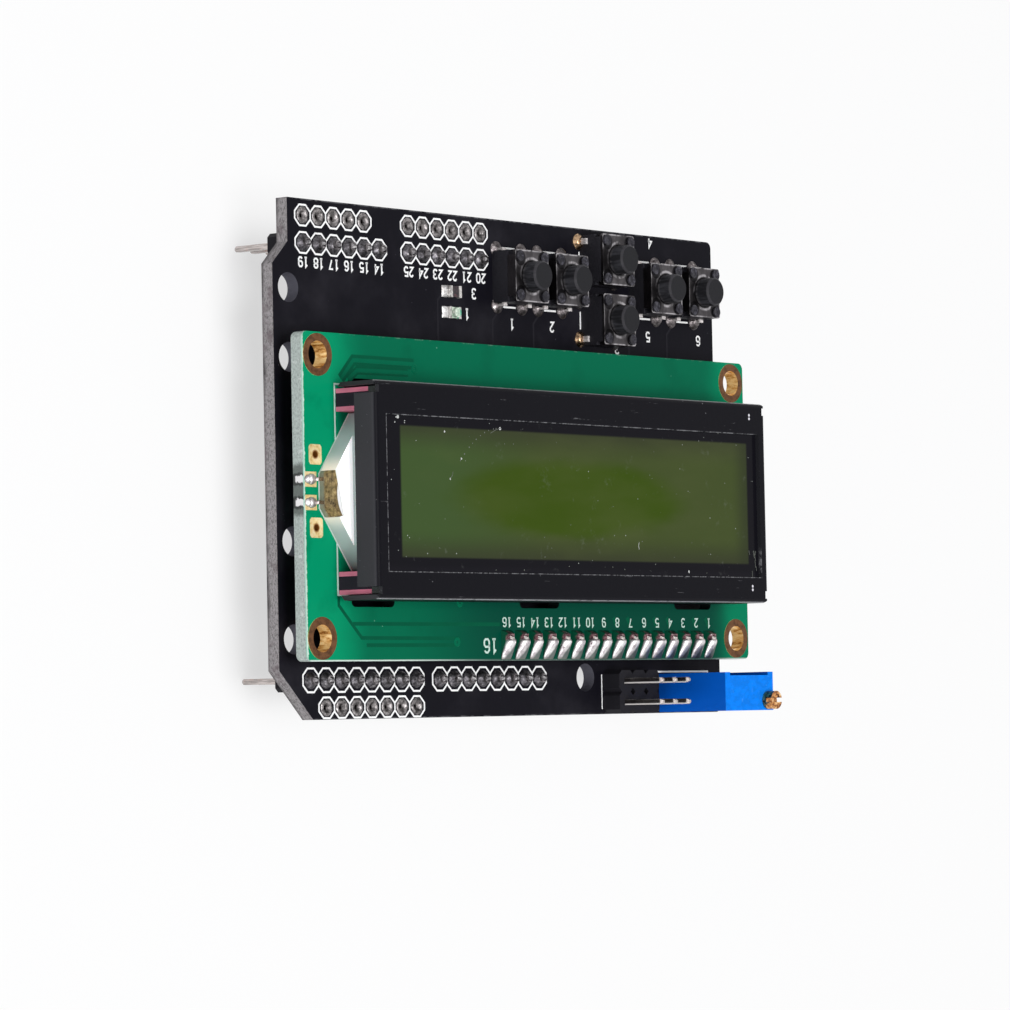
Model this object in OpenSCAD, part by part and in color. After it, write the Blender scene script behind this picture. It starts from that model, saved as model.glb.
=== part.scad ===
// Plug-on display and keypad board: a character display module with a side-lit backlight stands on a
// carrier board with six push buttons, a contrast trimmer, a 2 x 3 pin header and four pin rows below.
// The board lies flat with the display facing +Z and stands on its pin tips at Z = 0.

/* [Carrier board] */
// Length of the carrier board along X
board_l = 79.6; // [79.3:0.1:84]
// Width of the carrier board along Y
board_w = 57.5; // [57.3:0.1:62]
// Thickness of the carrier board
board_t = 1.6; // [1.2:0.1:2.4]
// Width of the step in the board's end beside the analogue row
step_w = 2.54; // [1:0.1:3]
// Length of the step before its slanted part
step_l = 4.9; // [3:0.1:6]
// Leg of the 45 degree corner cut beside the digital row
corner_cut = 5.4; // [3:0.1:5.8]
// Radius of the board's other corners
corner_r = 0.8; // [0.3:0.1:1.5]
// Diameter of the board's own mounting holes
mount_d = 3.3; // [2.8:0.1:3.6]
// Distance of the end mounting holes from the board's end
mount_inset = 2.54; // [2.3:0.01:3]
// Diameter of the drilled holes for pins and legs
drill_d = 1.1; // [1:0.02:1.2]

/* [Pin rows] */
// Pitch of every pin row
pitch = 2.54; // [2.5:0.01:2.56]
// Side of the square pins
pin_s = 0.64; // [0.5:0.02:0.66]
// Height of the moulded strips
strip_h = 2.54; // [2:0.02:3.5]
// Width of the moulded strips
strip_w = 2.5; // [2.2:0.02:2.54]
// Corner cut of each cell of a moulded strip
cell_cut = 0.45; // [0.2:0.05:0.6]
// Length of the pins below the moulded strips
pin_tail = 6; // [4:0.1:9]
// Distance between the analogue and the digital row
row_gap = 48.26; // [48:0.01:48.5]
// Offset of both rows from the board's middle
row_shift = 0.27; // [0:0.01:0.4]
// Distance of the first pins from the board's end
row_inset = 5.08; // [4.9:0.01:5.4]
// Distance from a fitted row to its spare row of holes
spare_gap = 3.04; // [2.7:0.02:3.3]
// Length of a pin above the board or display board that it is soldered to
pin_stub = 1.1; // [0.9:0.05:1.5]

/* [Solder] */
// Radius of a solder fillet at the board
fillet_r = 0.9; // [0.8:0.02:1]
// Height of a solder fillet
fillet_h = 0.8; // [0.5:0.05:0.85]

/* [Display module] */
// Length of the display board
display_l = 80; // [79.8:0.1:80.6]
// Width of the display board
display_w = 36; // [35.5:0.1:36.6]
// Thickness of the display board
display_t = 1.6; // [1.2:0.1:2]
// Distance of the display board's middle line from the carrier's, along Y
display_shift = 4.4; // [4.1:0.1:4.6]
// Offset of the display stack and its bezel from the display board's middle line, along Y
stack_shift = -0.55; // [-0.8:0.05:0]
// Distance of the display's mounting holes from its edges
display_inset = 2.5; // [2.45:0.05:2.7]
// Inner diameter of the display's plated mounting holes
display_hole_d = 3; // [2.6:0.1:3]
// Outer diameter of the copper rings around those holes
ring_d = 4.7; // [4.2:0.1:4.9]
// Thickness of the copper rings
ring_t = 0.05; // [0.03:0.01:0.1]
// Distance of the first display pin from the end of the display board
display_pin_inset = 8; // [7:0.1:9]
// Distance of the display pins from the long edge of the display board
display_pin_edge = 2.5; // [2.3:0.1:2.7]
// Number of display pins
display_pins_n = 16; // [14:1:16]

/* [Display stack] */
// Thickness of the white reflector sheet
reflector_t = 0.2; // [0.1:0.05:0.3]
// Thickness of the light guide under the glass
guide_t = 3.1; // [2.8:0.1:4]
// Height of the light guide's nose above the display board
nose_h = 2.3; // [1.8:0.1:2.6]
// Reach of the nose beyond the end of the light guide
nose_reach = 3.1; // [2.6:0.1:3.2]
// Width of the nose at its tip
nose_tip_w = 3.8; // [3.4:0.1:5]
// Distance inside the end of the stack at which the light guide starts to narrow
taper_in = 2; // [0:0.1:6]
// Distance between the gold pads beside the nose
led_pad_gap = 8; // [7.6:0.1:9]
// Length of the backlight lamp along the nose
lamp_l = 4.8; // [3.4:0.1:5.4]
// Thickness of the backlight lamp at its thin end
lamp_t = 0.3; // [0.2:0.05:0.6]
// Angle of the backlight lamp to the tip of the nose
lamp_angle = 14; // [0:1:25]
// Thickness of the diffuser sheet
diffuser_t = 0.15; // [0.1:0.05:0.3]
// Thickness of each polariser
polariser_t = 0.2; // [0.1:0.05:0.3]
// Thickness of each glass plate
glass_t = 1.1; // [0.7:0.1:1.3]
// Width of each elastic contact strip, its skins included
contact_w = 2.5; // [2:0.1:3]
// Thickness of the soft skins on the contact strips
skin_t = 0.5; // [0.3:0.05:0.6]
// Clearance between the parts of the stack and along the bezel's long walls
stack_gap = 0.15; // [0.1:0.01:0.2]
// Clearance between the ends of the stack and the bezel's end walls
end_gap = 0.5; // [0.2:0.05:0.6]

/* [Bezel] */
// Distance from the end of the display board to the bezel
bezel_margin = 4.4; // [4.2:0.1:4.6]
// Width of the bezel
bezel_w = 23.9; // [23.6:0.1:24.6]
// Thickness of the bezel's sheet
bezel_t = 0.5; // [0.3:0.05:0.6]
// Outer bend radius of the bezel
bezel_bend = 0.6; // [0.3:0.05:0.9]
// Mean width of the bezel's rim beside the ends of the window
window_rim = 1.65; // [1.5:0.05:2.6]
// Width of the window
window_w = 17.1; // [15:0.1:18]
// Offset of the window from the bezel's middle, along X
window_shift_x = -0.25; // [-0.25:0.05:0.2]
// Offset of the window from the bezel's middle, along Y
window_shift_y = 0.35; // [-0.3:0.05:0.4]
// Height of the short end walls
end_wall_h = 3; // [2.5:0.1:3.6]
// Length of the open corners of the long walls
corner_open = 2.4; // [1.5:0.1:4]
// Height of the open corners above the display board
corner_rise = 1.2; // [0.4:0.1:2]
// Width of the notch between an end wall and a long wall
corner_notch = 0.9; // [0.3:0.1:1.2]
// Leg of the clipped corners
clip = 0.5; // [0.3:0.1:0.8]
// Length of a bezel tab
tab_l = 6.6; // [4:0.1:7]
// Depth of a bezel tab below the back of the display board
tab_out = 0.9; // [0.4:0.1:1.4]
// Distance from the bezel's end to the middle of its outer tabs
tab_end = 6.6; // [6:0.1:8.5]
// Clearance between the ends of a tab and its slot
slot_gap = 0.3; // [0.2:0.05:0.5]
// Clearance inside a tab
slot_in = 0.1; // [0.05:0.05:0.2]
// Clearance outside a tab
slot_out = 0.65; // [0.3:0.05:0.8]

/* [Push buttons] */
// Side of a push button's square base
key_s = 6; // [5.6:0.1:6]
// Height of the base up to its steel cover
key_base_h = 3.2; // [3:0.1:3.8]
// Thickness of the steel cover
key_cover_t = 0.3; // [0.2:0.05:0.4]
// Height of the cover's side flanges
key_flange_h = 0.9; // [0.6:0.1:1.2]
// Height of the plunger's top above the board
key_top = 5.3; // [4.5:0.1:9]
// Diameter of the plunger
plunger_d = 3.4; // [3:0.1:3.5]
// Bevel round the plunger's top
plunger_bevel = 0.22; // [0.05:0.01:0.4]
// Travel of the plunger
key_travel = 0.25; // [0.15:0.05:0.3]
// Thickness of the snap dome
dome_t = 0.12; // [0.08:0.01:0.15]
// Clearance between the snap dome and the wall of its base
dome_fit = 0.15; // [0.1:0.05:0.3]
// Radial clearance of the plunger in its cover
plunger_fit = 0.08; // [0.04:0.01:0.1]
// Distance between two rows of legs
leg_span = 6.5; // [6.3:0.1:6.8]
// Distance between two legs of one row
leg_pitch = 4.5; // [4.3:0.1:4.6]
// Distance from the power row's last pin to the pair of stacked buttons
keys_row_gap = 21.35; // [21.1:0.05:21.7]
// Distance from the display board to the row of side buttons
keys_gap = 8.4; // [8.2:0.1:8.9]
// Offset of the side buttons' middle from the stacked buttons, along X
side_shift = -0.2; // [-0.3:0.05:0.2]
// Distance between the two stacked buttons
stacked_gap = 7.1; // [7:0.1:7.3]
// Offset of the stacked buttons from the row of side buttons
stacked_shift = 0.65; // [0.5:0.05:0.7]
// Distance from the stacked buttons to the side buttons
side_gap = 9; // [8.9:0.1:9.2]
// Distance between a side button and its outer neighbour
outer_gap = 7.45; // [7.1:0.05:7.55]

/* [Trimmer] */
// Length of the trimmer's housing
trim_l = 9.5; // [9.3:0.1:9.7]
// Width of the trimmer's housing, its ribs included
trim_w = 4.6; // [4.5:0.1:4.6]
// Height of the trimmer's housing above the board
trim_h = 10; // [9.6:0.1:11]
// Distance from the board's far end to the middle of the trimmer
trim_inset = 7.45; // [7.2:0.05:7.6]
// Distance from the display board to the trimmer
trim_gap = 1.65; // [1.4:0.05:1.65]
// Wall of the trimmer's housing
trim_wall = 0.5; // [0.4:0.05:0.55]
// Height of the ribs and feet of the housing
trim_rib = 0.4; // [0.2:0.05:0.4]
// Distance of the screw's axis from the end of the housing
screw_end = 1.15; // [1.15:0.05:1.3]
// Distance of the screw's axis from the side of the housing
screw_side = 1.2; // [1.15:0.05:1.3]
// Diameter of the screw's head
screw_d = 2.18; // [1.8:0.02:2.24]
// Height of the screw's head
screw_h = 1.3; // [1:0.1:1.6]
// Width of the screw's slot
head_slot_w = 0.5; // [0.3:0.05:0.7]
// Depth of the screw's slot
slot_depth = 0.75; // [0.4:0.05:0.9]
// Radial clearance of the shafts in the trimmer
shaft_fit = 0.05; // [0.03:0.01:0.07]
// Number of teeth on the rotor
rotor_teeth = 32; // [28:1:36]

/* [Small parts] */
// Distance from the board's far end to the middle of the 2 x 3 header
aux_inset = 19.2; // [19:0.1:19.6]
// Distance from the display board to the 2 x 3 header
aux_gap = 1.2; // [1:0.05:1.25]
// Length of the 2 x 3 header's pins above its strip
aux_pin = 5.6; // [5:0.1:7]
// Distance from the power row to the chip resistor
chip_gap = 4; // [3:0.1:4.2]
// Distance from the chip resistor to the power lamp
lamp_gap = 2.4; // [1.8:0.1:2.6]
// Length of the chip resistor and of the power lamp
chip_l = 2; // [1.6:0.1:2.2]
// Width of the chip resistor and of the power lamp
chip_w = 1.25; // [0.8:0.05:1.3]
// Diameter of the sealed driver chips behind the display board
blob_d = 13; // [10:0.5:14]
// Height of the sealed driver chips
blob_h = 1.5; // [1:0.1:1.7]
// Distance between the driver chips
blob_gap = 30; // [26:1:36]
// Offset of the driver chips' middle from the display board's middle
blob_shift = -1; // [-4:1:4]

/* [Hidden] */
$fn = 48;
eps = 0.02;

// Heights above the pin tips
board_z = pin_tail + strip_h;
top_z = board_z + board_t;
display_z = top_z + strip_h;
face_z = display_z + display_t;
guide_z = face_z + reflector_t;
diffuser_z = guide_z + guide_t;
rear_pol_z = diffuser_z + diffuser_t;
rear_glass_z = rear_pol_z + polariser_t;
front_glass_z = rear_glass_z + glass_t;
front_pol_z = front_glass_z + glass_t;
lip_z = front_pol_z + polariser_t;
bezel_z = lip_z + bezel_t;

// Carrier board: its end at +X is flush with the display board
end_x = display_l / 2;
far_x = end_x - board_l;
edge_y = board_w / 2;
analogue_y = row_shift - row_gap / 2;
digital_y = row_shift + row_gap / 2;
first_x = end_x - row_inset;
power_x = first_x - 7 * pitch;
digital_high_x = first_x - 8.6 * pitch;
analogue_n = 6;
power_n = 6;
digital_n = 8;
mounts = [
    [end_x - mount_inset, analogue_y + 2 * pitch],
    [end_x - mount_inset, analogue_y + 13 * pitch],
    [first_x - 19 * pitch, digital_y],
];

// Display board
display_y = display_shift;
hole_x = display_l / 2 - display_inset;
hole_y = display_w / 2 - display_inset;
display_holes = [for (sx = [-1, 1], sy = [-1, 1]) [sx * hole_x, display_y + sy * hole_y]];
plate_gap = 0.02;
plate_r = display_hole_d / 2 + ring_t;
pin_row_x = display_pin_inset - display_l / 2;
pin_row_y = display_y + display_w / 2 - display_pin_edge;
display_pin_xy = [for (i = [0:display_pins_n - 1]) [pin_row_x + i * pitch, pin_row_y]];
stack_y = display_y + stack_shift;
led_pads = [for (s = [-1, 1]) [display_l / 2 - 1.85, stack_y + s * led_pad_gap / 2]];

// Bezel and the stack inside it
bezel_l = display_l - 2 * bezel_margin;
window_l = bezel_l - 2 * window_rim;
inner_l = bezel_l - 2 * bezel_t;
inner_w = bezel_w - 2 * bezel_t;
stack_l = inner_l - 2 * end_gap;
strip_out = inner_w / 2 - stack_gap;
strip_in = strip_out - contact_w;
guide_w = 2 * (strip_in - stack_gap);
guide_end = stack_l / 2;
tab_x = [tab_end - bezel_l / 2, 0, bezel_l / 2 - tab_end];
tab_y = bezel_w / 2 - bezel_t / 2;
slot_w = bezel_t + slot_in + slot_out;
slot_y = tab_y + (slot_out - slot_in) / 2;
notch_l = bezel_bend + 0.1;
lip_cover = 0.6;

// Push buttons: [name, x, y, quarter turns]
keys_x = power_x - (power_n - 1) * pitch - keys_row_gap;
keys_y = display_y - display_w / 2 - keys_gap;
keys = [
    ["reset", keys_x + side_shift + side_gap + outer_gap, keys_y, 0],
    ["right", keys_x + side_shift + side_gap, keys_y, 0],
    ["up", keys_x, keys_y + stacked_shift + stacked_gap / 2, 1],
    ["down", keys_x, keys_y + stacked_shift - stacked_gap / 2, 1],
    ["left", keys_x + side_shift - side_gap, keys_y, 0],
    ["select", keys_x + side_shift - side_gap - outer_gap, keys_y, 0],
];
leg_t = 0.25;
leg_w = 0.7;
leg_z = 1;
key_floor = 1;
flange_t = 0.5;
flange_gap = 0.05;
flange_over = 0.45;
dome_gap = 0.05;
post_in = 0.75;
post_r = 0.42;
post_fit = 0.04;
rivet_r = 0.62;
rivet_h = 0.2;
plunger_r = plunger_d / 2;
well_r = plunger_r + flange_over + 0.1;
flange_z = key_base_h - flange_gap - flange_t;
dome_top = flange_z - key_travel - dome_gap;

// Trimmer, in its own frame: the middle of its footprint on the board, with its screw towards -X and +Y
trim_x = far_x + trim_inset;
trim_y = display_y + display_w / 2 + trim_gap + trim_w / 2;
trim_foot = 0.4;
seal_h = 0.9;
cavity_l = trim_l - 2 * trim_wall;
cavity_y0 = -trim_w / 2 + trim_rib + trim_wall;
cavity_y1 = trim_w / 2 - trim_wall;
cavity_top = trim_h - trim_wall;
screw_x = -trim_l / 2 + screw_end;
screw_y = trim_w / 2 - screw_side;
shaft_r = 0.4;
worm_r = 0.55;
seal_top = trim_foot + seal_h;
element_t = 0.6;
element_y = cavity_y0 + element_t / 2;
rotor_x = 0.3;
rotor_z = (seal_top + cavity_top) / 2;
rotor_t = 1;
boss_r = 0.6;
mesh_gap = 0.06;
rotor_r = rotor_x - screw_x - worm_r - mesh_gap;
trim_pins = [for (i = [-1:1]) [trim_x + i * pitch, trim_y + element_y]];

// 2 x 3 header
aux_x = far_x + aux_inset;
aux_y = display_y + display_w / 2 + aux_gap + pitch;
aux_xy = [for (i = [-1:1], j = [-0.5, 0.5]) [aux_x + i * pitch, aux_y + j * pitch]];

function row(x, y, n) = [for (i = [0:n - 1]) [x - i * pitch, y]];
function leg_xy(k) = [for (sx = [-1, 1], sy = [-1, 1])
    k[3] == 0
        ? [k[1] + sx * leg_pitch / 2, k[2] + sy * leg_span / 2]
        : [k[1] + sx * leg_span / 2, k[2] + sy * leg_pitch / 2]];

analogue_xy = row(first_x, analogue_y, analogue_n);
power_xy = row(power_x, analogue_y, power_n);
digital_low_xy = row(first_x, digital_y, digital_n);
digital_high_xy = row(digital_high_x, digital_y, digital_n);
row_xy = concat(analogue_xy, power_xy, digital_low_xy, digital_high_xy);
spare_xy = concat(
    row(first_x, analogue_y - spare_gap, analogue_n - 1),
    row(power_x, analogue_y - spare_gap, power_n),
    row(first_x - pitch, digital_y + spare_gap, digital_n - 1)
);
all_legs = [for (k = keys) for (p = leg_xy(k)) p];

module at(points, z = 0) {
    for (p = points)
        translate([p[0], p[1], z]) children();
}

module drill(points, d, z, h) {
    at(points, z - eps) cylinder(d = d, h = h + 2 * eps);
}

module rounded_plate(l, w, t, r) {
    linear_extrude(t) union() {
        square([l - 2 * r, w], center = true);
        square([l, w - 2 * r], center = true);
        for (sx = [-1, 1], sy = [-1, 1])
            translate([sx * (l / 2 - r), sy * (w / 2 - r)]) circle(r);
    }
}

// A square pin with four bevels at each end, standing on z0
module square_pin(z0, z1, s = pin_s) {
    bevel = s * 0.3;
    tip = s * 0.6;
    profile = [
        [-s / 2, z0 + tip], [-s / 2 + bevel, z0], [s / 2 - bevel, z0], [s / 2, z0 + tip],
        [s / 2, z1 - tip], [s / 2 - bevel, z1], [-s / 2 + bevel, z1], [-s / 2, z1 - tip],
    ];
    intersection() {
        translate([0, s / 2, 0]) rotate([90, 0, 0]) linear_extrude(s) polygon(profile);
        translate([-s / 2, 0, 0]) rotate([90, 0, 90]) linear_extrude(s) polygon(profile);
    }
}

// One moulded strip: a row of square cells with cut corners, bored for its pins
module moulded_strip(points, z, h, w = strip_w) {
    difference() {
        at(points, z) linear_extrude(h) cell(w);
        at(points, z - eps) linear_extrude(h + 2 * eps) square(pin_s, center = true);
    }
}

module cell(w) {
    a = pitch / 2;
    b = w / 2;
    c = cell_cut;
    polygon([
        [-a, c - b], [c - a, -b], [a - c, -b], [a, c - b],
        [a, b - c], [a - c, b], [c - a, b], [-a, b - c],
    ]);
}

// A concave fillet round a pin, with the plug of solder that fills its hole; it grows along +Z
module fillet(plug, leg = [pin_s, pin_s]) {
    top_r = 0.52;
    steps = 4;
    curve = [for (i = [0:steps]) let (a = 90 * i / steps)
        [top_r + (fillet_r - top_r) * (1 - sin(a)), fillet_h * (1 - cos(a))]];
    difference() {
        rotate_extrude() polygon(concat([[0, -plug], [drill_d / 2 - plate_gap, -plug],
            [drill_d / 2 - plate_gap, 0]], curve, [[0, fillet_h]]));
        translate([-leg[0] / 2, -leg[1] / 2, -plug - eps]) cube([leg[0], leg[1], plug + fillet_h + 2 * eps]);
    }
}

// Carrier board

module carrier_outline() {
    r = corner_r;
    difference() {
        union() {
            translate([far_x + r, -edge_y]) square([board_l - r, board_w]);
            translate([far_x, -edge_y + r]) square([board_l, board_w - 2 * r]);
            for (s = [-1, 1])
                translate([far_x + r, s * (edge_y - r)]) circle(r);
        }
        polygon([
            [end_x + 1, -edge_y - 1], [end_x - step_w, -edge_y - 1], [end_x - step_w, step_l - edge_y],
            [end_x, step_l + step_w - edge_y], [end_x + 1, step_l + step_w - edge_y],
        ]);
        polygon([
            [end_x + 1, edge_y - corner_cut - 1], [end_x + 1, edge_y + 1],
            [end_x - corner_cut - 1, edge_y + 1],
        ]);
    }
}

module carrier_board() {
    color([0.09, 0.09, 0.11]) difference() {
        translate([0, 0, board_z]) linear_extrude(board_t) carrier_outline();
        drill(mounts, mount_d, board_z, board_t);
        drill(display_holes, mount_d, board_z, board_t);
        drill(concat(row_xy, spare_xy, display_pin_xy, aux_xy, trim_pins, all_legs), drill_d, board_z, board_t);
    }
}

module lower_strip(points) {
    color([0.08, 0.08, 0.09]) moulded_strip(points, pin_tail, strip_h);
}

module lower_pins(points) {
    color([0.86, 0.83, 0.8]) at(points) square_pin(0, top_z + pin_stub);
}

module row_solder() {
    color([0.72, 0.72, 0.74]) at(row_xy, top_z) fillet(board_t);
}

module rear_solder() {
    color([0.72, 0.72, 0.74]) {
        at(concat(display_pin_xy, aux_xy), board_z) mirror([0, 0, 1]) fillet(board_t);
        at(trim_pins, board_z) mirror([0, 0, 1]) fillet(board_t, [pin_s * 0.7, pin_s * 0.7]);
        for (k = keys)
            at(leg_xy(k), board_z) mirror([0, 0, 1])
                fillet(board_t, k[3] == 0 ? [leg_w, leg_t] : [leg_t, leg_w]);
    }
}

// Display module

module display_board() {
    color([0.02, 0.42, 0.28]) difference() {
        translate([0, display_y, display_z]) rounded_plate(display_l, display_w, display_t, corner_r);
        drill(display_holes, 2 * (plate_r + plate_gap), display_z, display_t);
        drill(display_pin_xy, drill_d, display_z, display_t);
        drill(led_pads, drill_d * 0.7, display_z, display_t);
        for (x = tab_x, s = [-1, 1])
            translate([x, stack_y + s * slot_y, display_z - 1]) linear_extrude(display_t + 2) slot_plan();
    }
}

// Plan of a milled slot with round ends
module slot_plan() {
    l = tab_l + 2 * slot_gap;
    square([l - slot_w, slot_w], center = true);
    for (s = [-1, 1])
        translate([s * (l - slot_w) / 2, 0]) circle(slot_w / 2);
}

module plated_rings() {
    color([0.62, 0.36, 0.14]) at(display_holes, display_z) difference() {
        union() {
            cylinder(r = plate_r, h = display_t);
            translate([0, 0, display_t]) cylinder(d = ring_d, h = ring_t);
            translate([0, 0, -ring_t]) cylinder(d = ring_d, h = ring_t);
        }
        translate([0, 0, -1]) cylinder(d = display_hole_d, h = display_t + 2);
    }
}

module display_strip() {
    color([0.08, 0.08, 0.09]) moulded_strip(display_pin_xy, top_z, strip_h);
}

module display_pins() {
    color([0.86, 0.83, 0.8]) at(display_pin_xy) square_pin(board_z - pin_stub, face_z + pin_stub);
}

// Each joint runs out from its pin towards the near edge of the display board
module display_solder() {
    half = 0.95;
    top = 0.5;
    run = display_pin_edge - 0.35;
    side = [[-half, 0], [-top, fillet_h], [top, fillet_h], [half, 0]];
    along = [[-half, 0], [-top, fillet_h], [top, fillet_h], [run, 0]];
    color([0.8, 0.8, 0.82]) at(display_pin_xy, face_z) difference() {
        union() {
            intersection() {
                translate([0, run, 0]) rotate([90, 0, 0]) linear_extrude(2 * run) polygon(side);
                translate([-half, 0, 0]) rotate([90, 0, 90]) linear_extrude(2 * half) polygon(along);
            }
            translate([0, 0, -display_t]) cylinder(d = drill_d - 2 * plate_gap, h = display_t + eps);
        }
        translate([0, 0, -display_t / 2]) cube([pin_s, pin_s, 2 * display_t + 4], center = true);
    }
}

module driver_chips() {
    ball_r = (blob_d * blob_d / 4 + blob_h * blob_h) / (2 * blob_h);
    color([0.05, 0.05, 0.06]) for (s = [-1, 1])
        translate([blob_shift + s * blob_gap / 2, display_y, display_z]) intersection() {
            translate([0, 0, ball_r - blob_h]) sphere(ball_r, $fn = 96);
            translate([0, 0, -blob_h]) cylinder(d = 2 * blob_d, h = blob_h);
        }
}

// Plan of the light guide: it narrows from its full width to the tip of the nose
module guide_plan(reach) {
    x = guide_end - taper_in;
    tip = guide_end + nose_reach;
    intersection() {
        polygon([
            [-stack_l / 2, -guide_w / 2], [x, -guide_w / 2], [tip, -nose_tip_w / 2],
            [tip, nose_tip_w / 2], [x, guide_w / 2], [-stack_l / 2, guide_w / 2],
        ]);
        translate([-stack_l / 2, -guide_w / 2]) square([stack_l + reach, guide_w]);
    }
}

// Plan of the lamp, set askew across the tip of the nose; the guide gives way to it by a clearance
module lamp_plan(clear) {
    translate([guide_end + nose_reach, -nose_tip_w / 2]) rotate(lamp_angle)
        translate([-lamp_t - clear, -nose_tip_w]) square([nose_reach, nose_tip_w + lamp_l + clear]);
}

module stack_part(z, l, w, t) {
    translate([-l / 2, stack_y - w / 2, z]) cube([l, w, t]);
}

module reflector_sheet() {
    color([0.95, 0.95, 0.94]) translate([0, stack_y, face_z]) linear_extrude(reflector_t) guide_plan(nose_reach);
}

module light_guide() {
    color([0.88, 0.9, 0.88]) translate([0, stack_y, guide_z]) {
        linear_extrude(guide_t) guide_plan(0);
        linear_extrude(nose_h - reflector_t) difference() {
            guide_plan(nose_reach);
            lamp_plan(0.05);
        }
    }
}

module backlight_lamp() {
    color([0.6, 0.5, 0.3]) translate([0, stack_y, guide_z]) linear_extrude(nose_h - reflector_t) intersection() {
        guide_plan(nose_reach);
        lamp_plan(0);
    }
}

module lamp_leads() {
    reach = end_x - guide_end - nose_reach - 0.3;
    thick = 0.25;
    high = 0.8;
    bend = reach * 0.4;
    path = [
        [0, high - thick], [bend - thick, high - thick], [bend - thick, 0], [reach, 0],
        [reach, thick], [bend, thick], [bend, high], [0, high],
    ];
    color([0.85, 0.84, 0.82]) for (s = [-1, 1])
        translate([guide_end + nose_reach, stack_y + s * pitch / 2 + 0.2, face_z])
            rotate([90, 0, 0]) linear_extrude(0.4) polygon(path);
}

module diffuser_sheet() {
    color([0.97, 0.97, 0.96]) translate([0, stack_y, diffuser_z]) linear_extrude(diffuser_t) guide_plan(0);
}

module rear_polariser() {
    color([0.5, 0.52, 0.36]) stack_part(rear_pol_z, stack_l - 2, guide_w, polariser_t);
}

module rear_glass() {
    color([0.7, 0.8, 0.7, 0.5]) stack_part(rear_glass_z, stack_l, guide_w, glass_t);
}

module front_glass() {
    color([0.7, 0.8, 0.7, 0.5]) stack_part(front_glass_z, stack_l, 2 * strip_out, glass_t);
}

module front_polariser() {
    color([0.24, 0.28, 0.12])
        translate([window_shift_x, window_shift_y, 0])
            stack_part(front_pol_z, window_l + lip_cover, window_w + 2 * lip_cover, polariser_t);
}

module contact_strip(side) {
    w = contact_w - 2 * skin_t;
    color([0.1, 0.1, 0.12]) translate([0, side * (strip_out - contact_w / 2), 0])
        stack_part(face_z, stack_l, w, front_glass_z - face_z);
}

module contact_skins() {
    color([0.85, 0.42, 0.52]) for (y = [strip_out - skin_t / 2, strip_in + skin_t / 2], s = [-1, 1])
        translate([0, s * y, 0]) stack_part(face_z, stack_l, skin_t, front_glass_z - face_z);
}

// Cross-section of the folded sheet, with round upper corners
module fold_profile(w, h, r) {
    translate([-w / 2, 0]) square([w, h - r]);
    translate([r - w / 2, 0]) square([w - 2 * r, h]);
    for (s = [-1, 1])
        translate([s * (w / 2 - r), h - r]) circle(r);
}

module folded_box(l, w, h, r) {
    intersection() {
        translate([0, w, 0]) rotate([90, 0, 0]) linear_extrude(2 * w) fold_profile(l, h, r);
        translate([-l, 0, 0]) rotate([90, 0, 90]) linear_extrude(2 * l) fold_profile(w, h, r);
    }
}

module bezel() {
    h = bezel_z - face_z;
    color([0.07, 0.07, 0.08]) translate([0, stack_y, face_z]) {
        difference() {
            folded_box(bezel_l, bezel_w, h, bezel_bend);
            translate([0, 0, -eps])
                folded_box(inner_l, inner_w, h - bezel_t + eps, max(bezel_bend - bezel_t, 0.1));
            translate([window_shift_x - window_l / 2, window_shift_y - window_w / 2, 0])
                cube([window_l, window_w, h + 1]);
            for (sx = [-1, 1]) {
                translate([sx * bezel_l / 2, 0, (h - end_wall_h) / 2 - 1])
                    cube([2 * bezel_t + 0.2, inner_w, h - end_wall_h + 2], center = true);
                for (sy = [-1, 1]) {
                    translate([sx * (bezel_l - corner_open) / 2, sy * bezel_w / 2, corner_rise / 2 - 1])
                        cube([corner_open, 2 * bezel_t + 0.2, corner_rise + 2], center = true);
                    translate([sx * bezel_l / 2, sy * (inner_w - corner_notch) / 2, h / 2])
                        cube([2 * notch_l, corner_notch, h + 2], center = true);
                    translate([sx * bezel_l / 2, sy * bezel_w / 2, h / 2])
                        rotate([0, 0, 45]) cube([clip * sqrt(2), clip * sqrt(2), h + 2], center = true);
                }
            }
        }
        for (x = tab_x, s = [-1, 1])
            translate([x - tab_l / 2, s * tab_y - bezel_t / 2, -display_t - tab_out])
                cube([tab_l, bezel_t, display_t + tab_out + bezel_t]);
    }
}

// Push buttons

module key_place(k) {
    translate([k[1], k[2], top_z]) rotate([0, 0, 90 * k[3]]) children();
}

module corner_posts() {
    p = key_s / 2 - post_in;
    for (sx = [-1, 1], sy = [-1, 1])
        translate([sx * p, sy * p, 0]) children();
}

module key_base(k) {
    notch = key_cover_t + plate_gap;
    color([0.06, 0.06, 0.07]) key_place(k) {
        difference() {
            translate([-key_s / 2, -key_s / 2, 0]) cube([key_s, key_s, key_base_h]);
            translate([0, 0, key_floor]) cylinder(r = well_r, h = key_base_h);
            for (s = [-1, 1])
                translate([s * (key_s / 2 - notch / 2), 0, key_base_h - key_flange_h / 2])
                    cube([notch + eps, key_s + 1, key_flange_h + plate_gap], center = true);
        }
        corner_posts() {
            translate([0, 0, key_base_h - eps]) cylinder(r = post_r, h = key_cover_t + rivet_h + eps);
            translate([0, 0, key_base_h + key_cover_t]) cylinder(r = rivet_r, h = rivet_h);
        }
    }
}

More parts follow.
